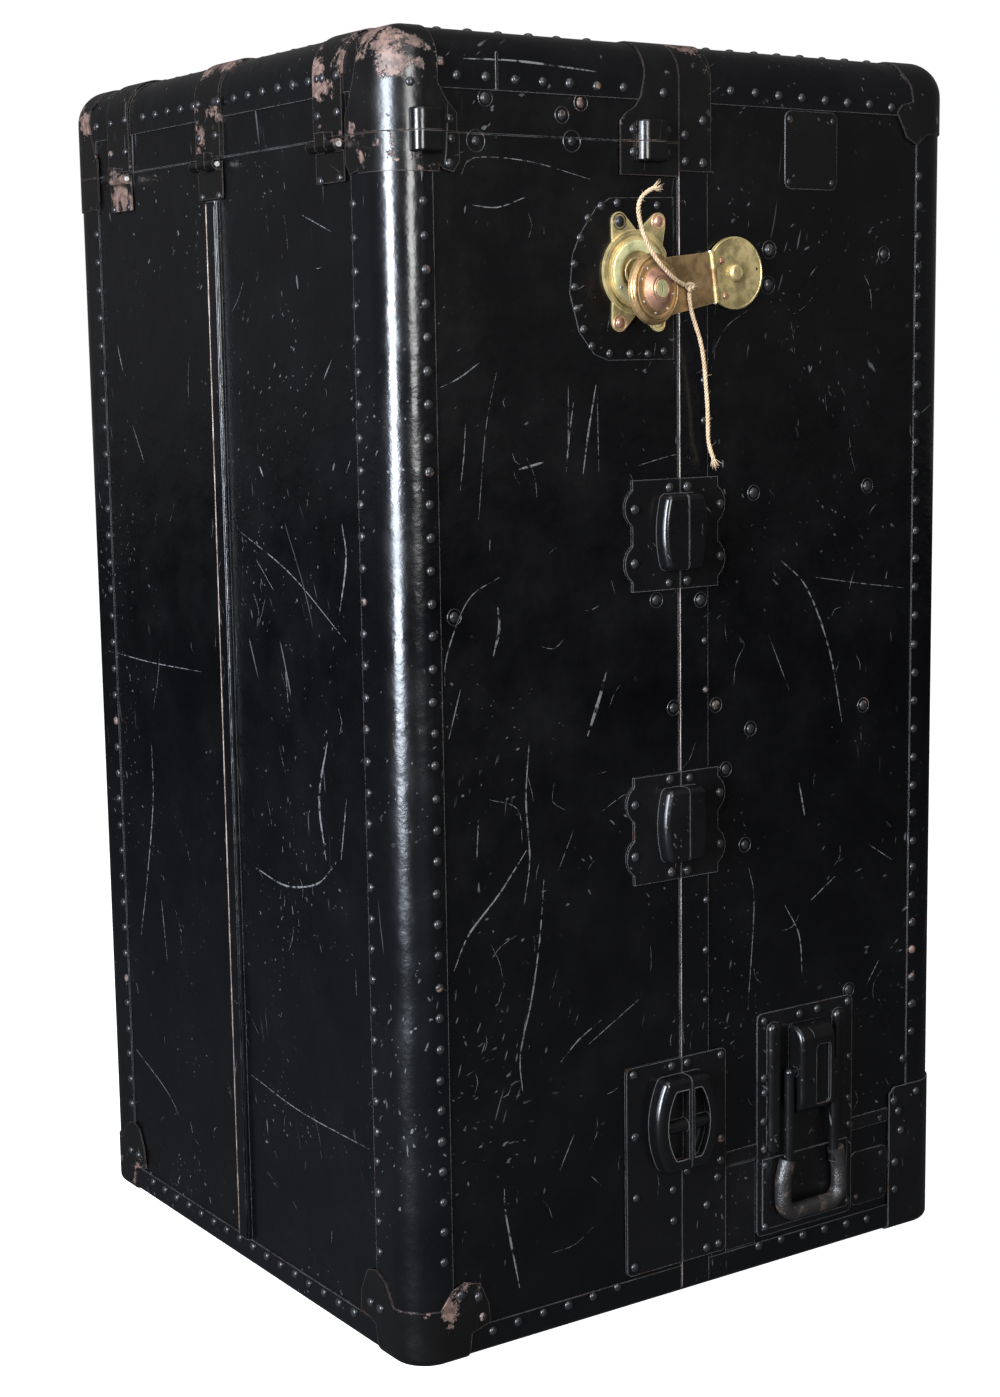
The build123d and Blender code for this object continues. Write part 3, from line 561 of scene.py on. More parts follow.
def piece_from(mesh, name, finish, body, smooth=True):
    """Turns a bmesh into a piece that rides on a body."""
    data = bpy.data.meshes.new(name)
    bmesh.ops.recalc_face_normals(mesh, faces=mesh.faces)
    mesh.to_mesh(data)
    mesh.free()
    for face in data.polygons:
        face.use_smooth = smooth
    data.materials.append(finish)
    piece = bpy.data.objects.new(name, data)
    show(piece)
    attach(piece, body)
    return piece


print("rings along the lower end:", len(frames_along(routes["string_lower"])))

# %% [markdown]
# Hairs stand off all along the twine, and its cut end has come apart into a tuft. Both
# are short tubes with three rings, thin enough to be lost at a step's distance.


# %% Loose fibres
FIBRE = 0.11 * MM
TUFT = 34
TWINE_STEP = 0.8 * MM


def evenly(points, step):
    """The same line with points a steady step apart."""
    out, left = [points[0]], step
    for a, b in zip(points, points[1:]):
        run = (b - a).length
        done = 0.0
        while run - done >= left:
            done += left
            out.append(a.lerp(b, done / run))
            left = step
        left -= run - done
    out.append(points[-1])
    return out


def loose_fibres(name, line, count, reach, dice):
    """Short hairs that stand off the twine, and a tuft where its end has come apart."""
    mesh = bmesh.new()
    for k in range(count):
        start = line[dice.randrange(4, len(line) - 4)]
        way = Vector([dice.uniform(-1, 1) for _ in range(3)]).normalized()
        way.y = -abs(way.y)
        tip = start + way * reach * dice.uniform(0.5, 1)
        bend = start.lerp(tip, 0.5) + Vector((0, 0, -0.2)) * reach
        add_tube(mesh, [start, bend, tip], [FIBRE, FIBRE, 0.5 * FIBRE], 4)
    end, before = line[-1], line[-6]
    out = (end - before).normalized()
    for k in range(TUFT):
        spread = Vector([dice.uniform(-1, 1) for _ in range(3)]) * 0.7
        way = (out + spread).normalized()
        start = before + spread * 1.2 * MM
        tip = start + way * dice.uniform(6, 10) * MM
        tip.y = min(tip.y, end.y + 1.5 * MM)
        add_tube(mesh, [start, start.lerp(tip, 0.5), tip], [0.3 * MM, 0.26 * MM, 0.1 * MM], 5)
    return piece_from(mesh, name + "_fibres", twine, "hasp")


print("fibres in a tuft:", TUFT)

# %% [markdown] The three yarns wind about the route once in nine millimetres, and swell
# a little here and there as hand-spun twine does.


# %% How one end is laid
YARNS = 3
LAY_LENGTH = 9 * MM
YARN_OFF = 0.27 * TWINE_THICK
YARN_R = 0.245 * TWINE_THICK
HAIRS = 26
HAIR_REACH = 6 * MM


def laid_twine(name, points, dice):
    """One loose end of the string, as three yarns with their fibres."""
    mesh = bmesh.new()
    line = evenly(points, TWINE_STEP)
    frames = frames_along(line)
    swell = [1 + 0.1 * math.sin(0.31 * i) * math.sin(0.083 * i + 1) for i in range(len(frames))]
    for k in range(YARNS):
        path = []
        for i, (point, side, other) in enumerate(frames):
            angle = 2 * math.pi * (k / YARNS + i * TWINE_STEP / LAY_LENGTH)
            over, along = math.cos(angle), math.sin(angle)
            path.append(point + side * YARN_OFF * over + other * YARN_OFF * along)
        add_tube(mesh, path, [YARN_R * s for s in swell], 8)
    piece = piece_from(mesh, name + "_twine", twine, "hasp")
    fibres = loose_fibres(name, line, HAIRS, HAIR_REACH, dice)
    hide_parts(name)


print("turns of the lay:", {n: round(length_of(p) / LAY_LENGTH, 1) for n, p in routes.items()})

# %% [markdown]
# The knot is a short length of the same twine drawn up into a tight trefoil, the path
# of an overhand knot. It sits on the strap, in place of the packed model's plain ball.
# Each end has dice of its own, so a change to one leaves the other as it was.

# %% The knot
KNOT_STEPS = 72
KNOT_ROUND = 0.98
KNOT_SCALE = 1.15
KNOT_FROM_FRONT = 4.8 * MM
KNOT_HAIRS = 22
knot_low, knot_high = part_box("string_knot")
knot_centre = Vector((
    (knot_low.x + knot_high.x) / 2, knot_low.y + KNOT_FROM_FRONT, (knot_low.z + knot_high.z) / 2,
))
knot_mesh = bmesh.new()
loop = []
for i in range(KNOT_STEPS + 1):
    t = 2 * math.pi * i / KNOT_STEPS * KNOT_ROUND
    trefoil = Vector((
        math.sin(t) + 2 * math.sin(2 * t), -0.9 * math.sin(3 * t), math.cos(t) - 2 * math.cos(2 * t)
    ))
    loop.append(knot_centre + trefoil * KNOT_SCALE * MM)
add_tube(knot_mesh, loop, [0.42 * TWINE_THICK] * len(loop), 10)
knot_dice = random.Random(7)
for k in range(KNOT_HAIRS):
    start = loop[knot_dice.randrange(len(loop))]
    way = Vector((knot_dice.uniform(-1, 1), -knot_dice.uniform(0.2, 1), knot_dice.uniform(-1, 1)))
    tip = start + way.normalized() * knot_dice.uniform(3, 6) * MM
    bend = start.lerp(tip, 0.5) + Vector((0, 0, -0.4)) * MM
    add_tube(knot_mesh, [start, bend, tip], [FIBRE, FIBRE, 0.5 * FIBRE], 4)
knot = piece_from(knot_mesh, "string_knot_tied", twine, "hasp")
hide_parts("string_knot")
print("knot, in millimetres:", [round(v / MM, 1) for v in knot.dimensions])

laid_twine("string_upper", routes["string_upper"], random.Random(0))
laid_twine("string_lower", routes["string_lower"], random.Random(1))
print("both ends laid")

# %% [markdown]
# Everything else is small metal on the surface. A ray from outside finds the skin under
# each nail and the piece that carries it, so a nail on a cap stands as high as the cap
# and moves with it.

# %% Find the surface
HUNG = ("string_upper", "string_lower", "string_knot")
spots, faces, carriers = [], [], []
for name, node in nodes.items():
    if name in HUNG:
        continue
    first = len(spots)
    spots += [v.co.copy() for v in node.data.vertices]
    for face in node.data.polygons:
        faces.append([first + i for i in face.vertices])
        carriers.append(name)
skin = BVHTree.FromPolygons(spots, faces)
OUTSIDE = 100
SIDES = {
    "front": (lambda u, v: (u, -OUTSIDE, v), (0, 1, 0)),
    "left": (lambda u, v: (-OUTSIDE, u, v), (1, 0, 0)),
    "right": (lambda u, v: (WIDTH + OUTSIDE, u, v), (-1, 0, 0)),
    "back": (lambda u, v: (u, DEPTH + OUTSIDE, v), (0, -1, 0)),
    "top": (lambda u, v: (u, v, HEIGHT + OUTSIDE), (0, 0, -1)),
}


def seat(side, u, v):
    """Where a ray at one side meets the trunk: the spot, the way out, and the carrier."""
    start, way = SIDES[side]
    way = Vector(way)
    spot, normal, index, _ = skin.ray_cast(at(*start(u, v)), way)
    if normal.dot(way) > 0:
        normal = -normal
    return spot, normal, body_of_node[carriers[index]]


print("faces to land on:", len(faces))

# %% [markdown]
# Nails, screws, rings and beads are all turned shapes: a profile of radius and height
# spun about the way out. Turned pieces on the same body with the same finish go into
# one mesh, which keeps the pieces few.

# %% Turned pieces, gathered by body
gathered = {}


def tray(kind, finish, body):
    """The mesh that collects one kind of small piece on one body."""
    key = (kind, body)
    if key not in gathered:
        gathered[key] = (bmesh.new(), finish)
    return gathered[key][0]


def turned(mesh, spot, out, profile, sides=12):
    """Spins a profile of (radius, height) pairs in millimetres about the way out."""
    out = out.normalized()
    side = out.orthogonal().normalized()
    other = out.cross(side)
    rings = []
    for radius, height in profile:
        centre = spot + out * height * MM
        if radius == 0:
            rings.append([mesh.verts.new(centre)])
            continue
        ring = []
        for k in range(sides):
            angle = 2 * math.pi * k / sides
            off = (side * math.cos(angle) + other * math.sin(angle)) * radius * MM
            ring.append(mesh.verts.new(centre + off))
        rings.append(ring)
    for low, high in zip(rings, rings[1:]):
        for k in range(sides):
            near = (low[k % len(low)], low[(k + 1) % len(low)])
            far = (high[(k + 1) % len(high)], high[k % len(high)])
            mesh.faces.new(tuple(dict.fromkeys(near + far)))


def dome(radius, height):
    """A nail head: steep at the rim, flat on top."""
    steps = 4
    out = [(radius, -0.3)]
    for k in range(steps):
        angle = math.pi / 2 * k / steps
        out.append((radius * math.cos(angle), 0.2 + height * math.sin(angle)))
    return out + [(0, 0.2 + height)]


def ridge(radius, thick):
    """A raised ring."""
    return [
        (radius + thick, -0.2), (radius + 0.7 * thick, 0.7 * thick), (radius, thick),
        (radius - 0.7 * thick, 0.7 * thick), (radius - thick, -0.2),
    ]


print("a nail head's profile:", [(round(r, 2), round(h, 2)) for r, h in dome(3.9, 2.1)])

# %% [markdown]
# Nails were driven by hand, so no two stand quite in line, upright or alike. The dice
# that shift and lean them always start from the same number, which keeps the result the
# same each time.

# %% Nails, one or in a row
dice = random.Random(1891)
NAIL_R, NAIL_H = 3.9, 2.1
PITCH = 26.2
driven = []


def nail(side, u, v, radius=NAIL_R, height=NAIL_H, kind="nails", finish=None, rim=0):
    """A nail or rivet head, a little out of line and out of true."""
    driven.append(side)
    spot, out, body = seat(side, u + dice.gauss(0, 0.35), v + dice.gauss(0, 0.35))
    lean = Vector([dice.gauss(0, 0.05) for _ in range(3)])
    size = dice.gauss(1, 0.04)
    mesh = tray(kind, finish or nail_black, body)
    turned(mesh, spot, out + lean, dome(radius * size, height * size))
    if rim:
        turned(mesh, spot, out, ridge(rim, 0.5), 20)


def row(side, start, end, pitch=PITCH, gaps=()):
    """Evenly spaced nails between two places, leaving out those inside a gap."""
    a, b = Vector(start), Vector(end)
    count = round((b - a).length / pitch)
    for i in range(count + 1):
        u, v = a.lerp(b, i / count)
        along = v if abs(b.y - a.y) > abs(b.x - a.x) else u
        if not any(low < along < high for low, high in gaps):
            nail(side, u, v)


print("a common nail is", 2 * NAIL_R, "mm across and", NAIL_H, "mm high")

# %% [markdown]
# The rows run down every binding, 26 mm apart. The unseen sides get the rows that the
# seen ones have, since the bindings there are the same.

# %% Nail rows
END_PITCH = 25
TOP_ROW = 1036
FLOOR_ROW = 20
LOW, HIGH = 89, 941
RIGHT_LOW, RIGHT_HIGH = 165, 990
BACK_HINGES = ((100, 200), (470, 570), (840, 940))
FAR_LID_HINGE = (DEPTH - 138, DEPTH - 84)
MIDDLE_LID_HINGE = (262, 316)
row("front", (63, 1037), (223, 1035))
row("front", (335, 1038), (518, 1033))
row("front", (31, LOW), (31, HIGH))
row("front", (555, 190), (552, 975))
row("front", (77, 18), (208, 23))
row("front", (368, 23), (501, 18))
row("left", (52, LOW), (54, HIGH))
row("left", (DEPTH - 52, LOW), (DEPTH - 52, HIGH))
row("left", (94, 1040), (271, 1040), END_PITCH)
row("left", (320, 1040), (DEPTH - 60, 1040), END_PITCH, gaps=(FAR_LID_HINGE,))
row("left", (96, FLOOR_ROW), (DEPTH - 96, FLOOR_ROW))
row("right", (50, RIGHT_LOW), (50, RIGHT_HIGH))
row("right", (DEPTH - 50, RIGHT_LOW), (DEPTH - 50, RIGHT_HIGH))
row("right", (80, TOP_ROW), (DEPTH - 80, TOP_ROW))
row("right", (80, FLOOR_ROW), (DEPTH - 80, FLOOR_ROW))
row("back", (31, LOW), (31, HIGH))
row("back", (554, RIGHT_LOW), (554, RIGHT_HIGH))
row("back", (63, TOP_ROW), (223, TOP_ROW))
row("back", (335, TOP_ROW), (518, TOP_ROW))
row("back", (77, FLOOR_ROW), (250, FLOOR_ROW))
row("back", (330, FLOOR_ROW), (501, FLOOR_ROW))
row("back", (300, 60), (300, 960), gaps=BACK_HINGES)
row("top", (66, 33), (210, 33))
row("top", (335, 33), (518, 33))
row("top", (66, DEPTH - 33), (210, DEPTH - 33))
row("top", (335, DEPTH - 33), (518, DEPTH - 33))
row("top", (34, 120), (34, DEPTH - 140), gaps=(MIDDLE_LID_HINGE,))
row("top", (WIDTH - 34, 66), (WIDTH - 34, DEPTH - 66))
print("nails in rows:", {side: driven.count(side) for side in SIDES})

# %% [markdown]
# Rivets round the fittings keep no pitch, so each group is a list of places, read off
# the photograph: x and z on the front.

# %% Single rivets
LID_RIVETS = (
    (54.5, 1003), (55, 988), (54, 970), (232, 1003), (232, 985), (266, 1003), (266, 985),
    (262, 1033), (285, 1000), (285, 979), (304, 978), (304, 1012), (20, 1030), (47, 1046),
)
PATCH_NAILS = (
    (200, 941), (216, 944), (257, 944), (187.5, 931), (179, 915), (173, 895), (173, 877),
    (175, 860), (181, 843), (189, 830), (207, 823), (228, 823), (247, 823), (264, 825),
)
UPPER_DOWEL = (
    (268, 712), (287, 713), (230, 695), (322, 696), (230, 650), (322, 652), (267, 632), (286, 633),
)
LOWER_DOWEL = (
    (267, 464), (288, 463), (229, 446), (321, 446), (229, 401.5), (322, 401), (268, 384), (286, 383),
)
FOOT_NAILS = (
    (226, 211), (267, 211), (285, 211), (323, 211), (226.5, 155), (322, 134), (322.5, 114),
    (319, 99), (227.5, 100), (283.5, 113), (268.5, 99), (307, 76), (269, 70), (306, 37),
    (320, 37), (226, 38),
)
HANDLE_NAILS = (
    (374.5, 232), (374, 179), (374, 165), (374, 139), (374, 113), (375, 98), (375, 40),
    (475, 233), (476, 180), (476, 140), (476.5, 114.5), (475, 41), (416, 232), (437, 231.5),
)
RIGHT_FOOT_NAILS = (
    (533, 127), (538, 116), (542, 96), (561, 131), (534, 66), (534, 39), (557, 216), (546, 165),
)
NEAR_FOOT_RIVETS = ((46, 58), (63, 52), (67, 34))
BAND_RIVETS = (
    (306, 263), (307, 308), (307, 353), (307, 537), (306, 580), (306, 767), (306, 800),
)
FOOT_CAP_Z = 40
LID_HINGES_Y = (87, 291, DEPTH - 111)
LEAF_RIVETS_Z = (962, 1012, 1040)
for places, radius in (
    (LID_RIVETS, 3.9), (PATCH_NAILS, 3.4), (UPPER_DOWEL, 4.1), (LOWER_DOWEL, 4.1), (FOOT_NAILS, 3.9),
    (HANDLE_NAILS, 3.7), (RIGHT_FOOT_NAILS, 3.9), (NEAR_FOOT_RIVETS, 4.1), (BAND_RIVETS, 3.2),
):
    for u, v in places:
        nail("front", u, v, radius)
for side in ("left", "right"):
    for y in (50, 66):
        nail(side, y, FOOT_CAP_Z)
        nail(side, DEPTH - y, FOOT_CAP_Z)
for y in LID_HINGES_Y:
    for shift in (-15, 15):
        for z in LEAF_RIVETS_Z:
            nail("left", y + shift, z, 3.6)
print("nails and rivets so far:", len(driven))

# %% [markdown]
# A few round heads stand alone on the panels, where something inside is bolted through.
# Each has a low dome with a ring pressed into the panel round it.

# %% Bolts through the panels
LONE_BOLTS = (
    (52, 619.5), (255.5, 618), (302, 615), (273, 525), (362, 703), (359, 498.5), (331, 465),
    (492, 506), (494, 704), (477, 243), (511.5, 906), (352, 395.5), (319.5, 523), (90, 1021),
    (181, 1021.5), (163, 1011),
)
BOLTS_BY_HASP = ((378.6, 909), (377, 879))
BOLTS_UNDER_LID = ((80, 988), (172, 991))
for places, radius, height, rim in (
    (LONE_BOLTS, 4.4, 1.6, 6.6), (BOLTS_BY_HASP, 5.2, 3.0, 7.6), (BOLTS_UNDER_LID, 3.6, 1.4, 8.5),
):
    for u, v in places:
        nail("front", u, v, radius, height, rim=rim)
print("lone bolts:", len(LONE_BOLTS) + len(BOLTS_BY_HASP) + len(BOLTS_UNDER_LID))

# %% [markdown]
# The lock and hasp carry most of the bright metal. The hasp hangs eleven degrees open and
# eight degrees drooped, so what sits on it is placed on the level, shut hasp first and
# then moved the way the hasp was moved.

# %% Small parts of the lock
LOCK_X, LOCK_Z = 234, 889
DISC_X, KNUCKLE_X, KNUCKLE_OUT = 337, 310, 6
HASP_OPEN, HASP_DROOP = 11, 8


def about(place, axis, degrees):
    """A turn about an axis through a place."""
    spot = at(*place)
    turn = Matrix.Rotation(math.radians(degrees), 4, axis)
    return Matrix.Translation(spot) @ turn @ Matrix.Translation(-spot)


FRONT = Vector((0, -1, 0))
drooped = about((DISC_X, 0, LOCK_Z), FRONT, HASP_DROOP)
opened = drooped @ about((KNUCKLE_X, -KNUCKLE_OUT, LOCK_Z), Vector((0, 0, 1)), HASP_OPEN)
print("the cup's middle moves by, in mm:", [
    round(v / MM, 1) for v in opened @ at(LOCK_X, 0, LOCK_Z) - at(LOCK_X, 0, LOCK_Z)
])

# %% [markdown]
# Beads and rings are turned too. Those on the fixed base stand at most a third of a
# millimetre proud, so that the strap can close over them.


# %% Screws, beads and rings
def round_about(centre_x, centre_z, radius, angles):
    """Places on a circle on the front, from angles in degrees."""
    for angle in angles:
        way = math.radians(angle)
        yield centre_x + radius * math.cos(way), centre_z + radius * math.sin(way)


def on_hasp(kind, finish, body, move, place, profile, sides=16):
    turned(tray(kind, finish, body), move @ at(*place), move.to_3x3() @ FRONT, profile, sides)


for x, z, finish, kind in (
    (217, 929.5, nail_black, "ear_screw"), (257, 929.5, copper_dome, "ear_rivets"),
    (217, 848.5, copper_dome, "ear_rivets"), (257, 848.5, brass_lock, "ear_stud"),
):
    nail("front", x, z, 4.6, 2.0, kind, finish, rim=6.4)
pale_ring = tray("lock_ring", brass_pale, "hanging_half")
turned(pale_ring, at(LOCK_X, -4, LOCK_Z), FRONT, [
    (17.2, -3.2), (17.2, 0.05), (17.5, 0.2), (20, 0.25), (24, 0.25), (25.6, 0.15), (26.2, -0.3),
], 64)
bead = tray("lock_bead", brass_lock, "hanging_half")
turned(bead, at(LOCK_X, -1.2, LOCK_Z), FRONT, [
    (12.5, 0), (12.3, 0.9), (11.2, 1.3), (10.1, 0.9), (10, 0),
], 48)
pins = tray("lock_pins", steel_worn, "hanging_half")
for x, z in round_about(LOCK_X, LOCK_Z, 22, (215, 262)):
    turned(pins, at(x, -4, z), FRONT, [(1.7, 0), (1.6, 0.28), (0, 0.33)], 10)

RIM, GROOVE = 26.2, 19.8
DISC_RIM, DISC_FACE = 28.9, -3.3
on_hasp("cup_bead", brass_hasp, "hasp", opened, (LOCK_X, -9, LOCK_Z), ridge(RIM, 1.3), 64)
for x, z in round_about(LOCK_X, LOCK_Z, GROOVE, (62, 118, 150, 205, 255, 300, 340)):
    on_hasp("cup_pins", steel_worn, "hasp", opened, (x, -10, z), dome(1.2, 0.8), 8)
on_hasp("dome_bead", copper_dome, "hasp", opened, (LOCK_X, -15, LOCK_Z), ridge(8.4, 0.6), 40)
for z in (LOCK_Z + 11.5, LOCK_Z - 17.5):
    spot = (DISC_X - 13, DISC_FACE, z)
    on_hasp("disc_rivets", copper_dome, "hasp_swivel", drooped, spot, dome(3.0, 0.9), 16)
spot = (DISC_X, DISC_FACE, LOCK_Z)
on_hasp("disc_bead", brass_lock, "hasp_swivel", drooped, spot, ridge(DISC_RIM, 0.5), 64)
print("kinds of small piece on the hasp:", sorted(k for k, b in gathered if b.startswith("hasp")))

# %% [markdown]
# Thin sheets and strips lie on the panels: guards near the foot and a bare plate high on
# the right. Each is an outline pushed out by its thickness, with its front edges softened.


# %% Sheets on the front
def sheet(name, finish, outline, under, thick, body="drawer_half", soften=0.35):
    """A thin plate on the front, from an outline in x and z."""
    mesh = bmesh.new()
    corners = [mesh.verts.new(at(x, under, z)) for x, z in outline]
    grown = bmesh.ops.extrude_face_region(mesh, geom=[mesh.faces.new(corners)])
    for vert in grown["geom"]:
        if isinstance(vert, bmesh.types.BMVert):
            vert.co.y -= thick * MM
    front = [e for e in mesh.edges if all(v.co.y < at(0, under - thick / 2, 0).y for v in e.verts)]
    bmesh.ops.bevel(mesh, geom=front, offset=soften * MM, segments=2, profile=0.5, affect="EDGES")
    piece_from(mesh, name, finish, body, smooth=False)


def rounded(x0, x1, z0, z1, r, steps=4):
    """A rectangle's outline with its corners rounded."""
    out = []
    for cx, cz, first in (
        (x1 - r, z1 - r, 0), (x0 + r, z1 - r, 90), (x0 + r, z0 + r, 180), (x1 - r, z0 + r, 270),
    ):
        for k in range(steps + 1):
            angle = math.radians(first + 90 * k / steps)
            out.append((cx + r * math.cos(angle), cz + r * math.sin(angle)))
    return out


PANEL_Y = 1.5
STRIP_OUTLINE = [(310.5, 106), (326, 106), (526, 108), (526, 121), (326, 119), (310.5, 119)]
APRON_OUTLINE = [(330, 27), (364, 27), (364, 105), (330, 105)]
SHEET_NAILS = (
    (481, 113), (516, 113), (488, 42), (519, 42), (519, 78), (401, 1018), (450, 1018), (401, 966),
    (449, 966),
)
sheet("guard_strip", fitting_black, STRIP_OUTLINE, PANEL_Y, 0.9)
sheet("guard_patch", fitting_black, rounded(480, 526, 34, 86, 7), PANEL_Y, 0.8)
sheet("foot_apron", fitting_black, APRON_OUTLINE, PANEL_Y, 0.6)
sheet("bare_plate", fitting_black, rounded(395.5, 455, 960, 1025.5, 7), PANEL_Y, 0.7)
sheet("lid_splice", binding_black, rounded(98, 100.5, 1027, 1056, 1), 0, 0.7, "lid", 0.2)
for u, v in SHEET_NAILS:
    nail("front", u, v, 3.0, 1.4)
print("nails in the sheets:", len(SHEET_NAILS))

# %% [markdown]
# Where the two halves meet, and along the band up the left end, the enamel has gone from
# the very edge and the metal shines in a thin line. A thin tube along the edge catches
# the light as that line does.

# %% Bright edges
EDGE_R = 0.6


def edge_line(name, places, finish, body, radius=EDGE_R):
    """A worn, bright edge: a thin tube whose thickness wanders."""
    mesh = bmesh.new()
    line = evenly([at(*p) for p in places], 6 * MM)
    radii = [radius * MM * (1 + 0.25 * math.sin(0.9 * i) * math.sin(0.37 * i)) for i in range(len(line))]
    add_tube(mesh, line, radii, 6)
    piece_from(mesh, name, finish, body)


EDGE_X = SEAM_X + 1.3
EDGE_IN = 0.2
EDGE_FOOT = 6
TOP_IN = 1.7
TOP_ROUND = 30
BAND_X, BAND_Y = -3.3, 289
BAND_FOOT, BAND_HEAD = 28, LID_Z - 38
over_top = []
for k in range(9):
    a = math.pi / 2 * k / 8
    y = EDGE_IN + TOP_ROUND * (1 - math.cos(a))
    over_top.append((EDGE_X, y, HEIGHT - TOP_IN - TOP_ROUND * (1 - math.sin(a))))
seam_front = [(EDGE_X, EDGE_IN, EDGE_FOOT), *over_top, (EDGE_X, DEPTH - 60, HEIGHT - TOP_IN)]
seam_back = [(EDGE_X, DEPTH - EDGE_IN, EDGE_FOOT), (EDGE_X, DEPTH - EDGE_IN, HEIGHT - 34)]
edge_line("seam_edge", seam_front, seam_metal, "drawer_half")
edge_line("seam_edge_back", seam_back, seam_metal, "drawer_half")
for name, y, finish in (
    ("band_edge", BAND_Y + 7, seam_metal), ("band_edge_far", BAND_Y - 7.4, binding_black),
):
    edge_line(name, [(BAND_X, y, BAND_FOOT), (BAND_X, y, BAND_HEAD)], finish, "hanging_half", 0.9)
print("the seam's bright edge, in mm:", round(length_of([at(*p) for p in seam_front]) / MM))

# %% [markdown]
# The long scratches and knocks that give the trunk its look are laid on one by one: each
# is a thin ribbon that follows the skin, widest in the middle, in a chalky finish that
# breaks up along it, listed as its width and then the places it runs through, two
# numbers for each.

# %% Scratches
FRONT_MARKS = (
    (1.2, 80, 818, 60, 806, 42, 799), (0.9, 66, 770, 64, 746, 60, 719),
    (0.6, 96, 810, 85, 765, 77, 695), (1.4, 171, 785, 166, 755, 163, 729),
    (1.6, 194, 799, 186, 762, 180, 727), (2.6, 94, 624, 95, 606, 89, 585),
    (1.0, 96, 648, 66, 632, 45, 590, 42, 562), (3.4, 202, 562, 194, 539, 182, 510),
    (1.6, 136, 395, 131, 345, 122, 295, 110, 250, 112, 216), (1.8, 46, 332, 61, 360, 91, 389, 119, 422),
    (1.6, 123, 512, 119, 464, 122, 414, 116, 377), (2.0, 92, 138, 93, 116, 106, 48),
    (1.5, 151, 236, 170, 252, 194, 265), (1.8, 393, 643, 423, 617, 450, 560, 466, 493),
    (0.7, 431, 626, 485, 617, 540, 609), (1.4, 399, 334, 416, 304, 420, 266), (2.0, 415, 444, 422, 413),
    (1.2, 459, 352, 430, 334), (1.0, 357, 374, 363, 340, 356, 245), (1.0, 45, 522, 57, 561),
    (0.7, 167, 433, 151, 401), (0.8, 500, 376, 529, 358), (0.8, 164, 170, 149, 142),
    (0.8, 234, 276, 180, 246), (1.2, 72, 453, 70, 421), (0.6, 379, 579, 403, 528),
    (2.0, 116, 733, 141, 738), (1.0, 499, 244, 514, 265), (0.7, 66, 962, 78, 975, 130, 974, 190, 962),
    (1.0, 76, 939, 100, 938, 128, 947), (0.8, 166, 799, 165, 735), (0.7, 195, 790, 196, 728),
    (1.8, 69, 1049, 120, 1050, 196, 1046),
)
LEFT_MARKS = (
    (1.8, 454, 465, 455, 409, 472, 338, 493, 269), (0.9, 540, 544, 448, 542, 344, 544),
    (1.1, 259, 675, 172, 644, 84, 596), (3.0, 119, 509, 135, 458, 126, 407),
    (1.8, 251, 379, 197, 373, 144, 384, 116, 403), (1.0, 272, 184, 181, 174, 67, 173),
    (1.4, 187, 564, 184, 535), (2.4, 87, 694, 81, 663, 94, 617), (1.4, 495, 838, 485, 813),
    (0.9, 469, 764, 447, 730), (0.9, 515, 148, 450, 123, 420, 102), (1.0, 96, 822, 110, 806),
    (0.8, 233, 653, 204, 629), (1.0, 445, 313, 437, 256), (1.6, 90, 465, 101, 413),
    (3.0, 222, 733, 216, 724), (0.8, 139, 938, 91, 922),
)
LIFT = 0.12


def smooth_line(places, step):
    """A curve through a few places, as a list of places a step apart."""
    spots = [Vector(p) for p in places]
    spots = [2 * spots[0] - spots[1]] + spots + [2 * spots[-1] - spots[-2]]
    line = []
    for a, b, c, d in zip(spots, spots[1:], spots[2:], spots[3:]):
        count = max(2, round((c - b).length / step))
        for i in range(count):
            t = i / count
            line.append(0.5 * (
                2 * b + (c - a) * t + (2 * a - 5 * b + 4 * c - d) * t**2 + (3 * b - a - 3 * c + d) * t**3
            ))
    return line + [spots[-2]]


def scratch(side, places, width, kind="scratches"):
    """A ribbon on the skin, broken off where the skin steps or another body starts."""
    line = smooth_line(places, 6)
    landings = [seat(side, *p) for p in line]
    body = landings[0][2]
    mesh = tray(kind, scuff, body)
    before = None
    for i, (spot, out, carrier) in enumerate(landings):
        ahead = landings[min(i + 1, len(line) - 1)][0] - landings[max(i - 1, 0)][0]
        level_here = not before or abs((spot - before[0]).dot(out)) < 0.3 * MM
        share = i / (len(line) - 1)
        taper = math.sin(math.pi * (0.06 + 0.88 * share)) ** 0.7
        half = 0.5 * width * MM * taper * dice.uniform(0.7, 1.1)
        across = ahead.cross(out).normalized() * half
        lifted = spot + out * LIFT * MM
        pair = (mesh.verts.new(lifted - across), mesh.verts.new(lifted + across))
        if before and carrier == body and level_here:
            mesh.faces.new((before[1][0], before[1][1], pair[1], pair[0]))
        before = (spot, pair) if carrier == body else None


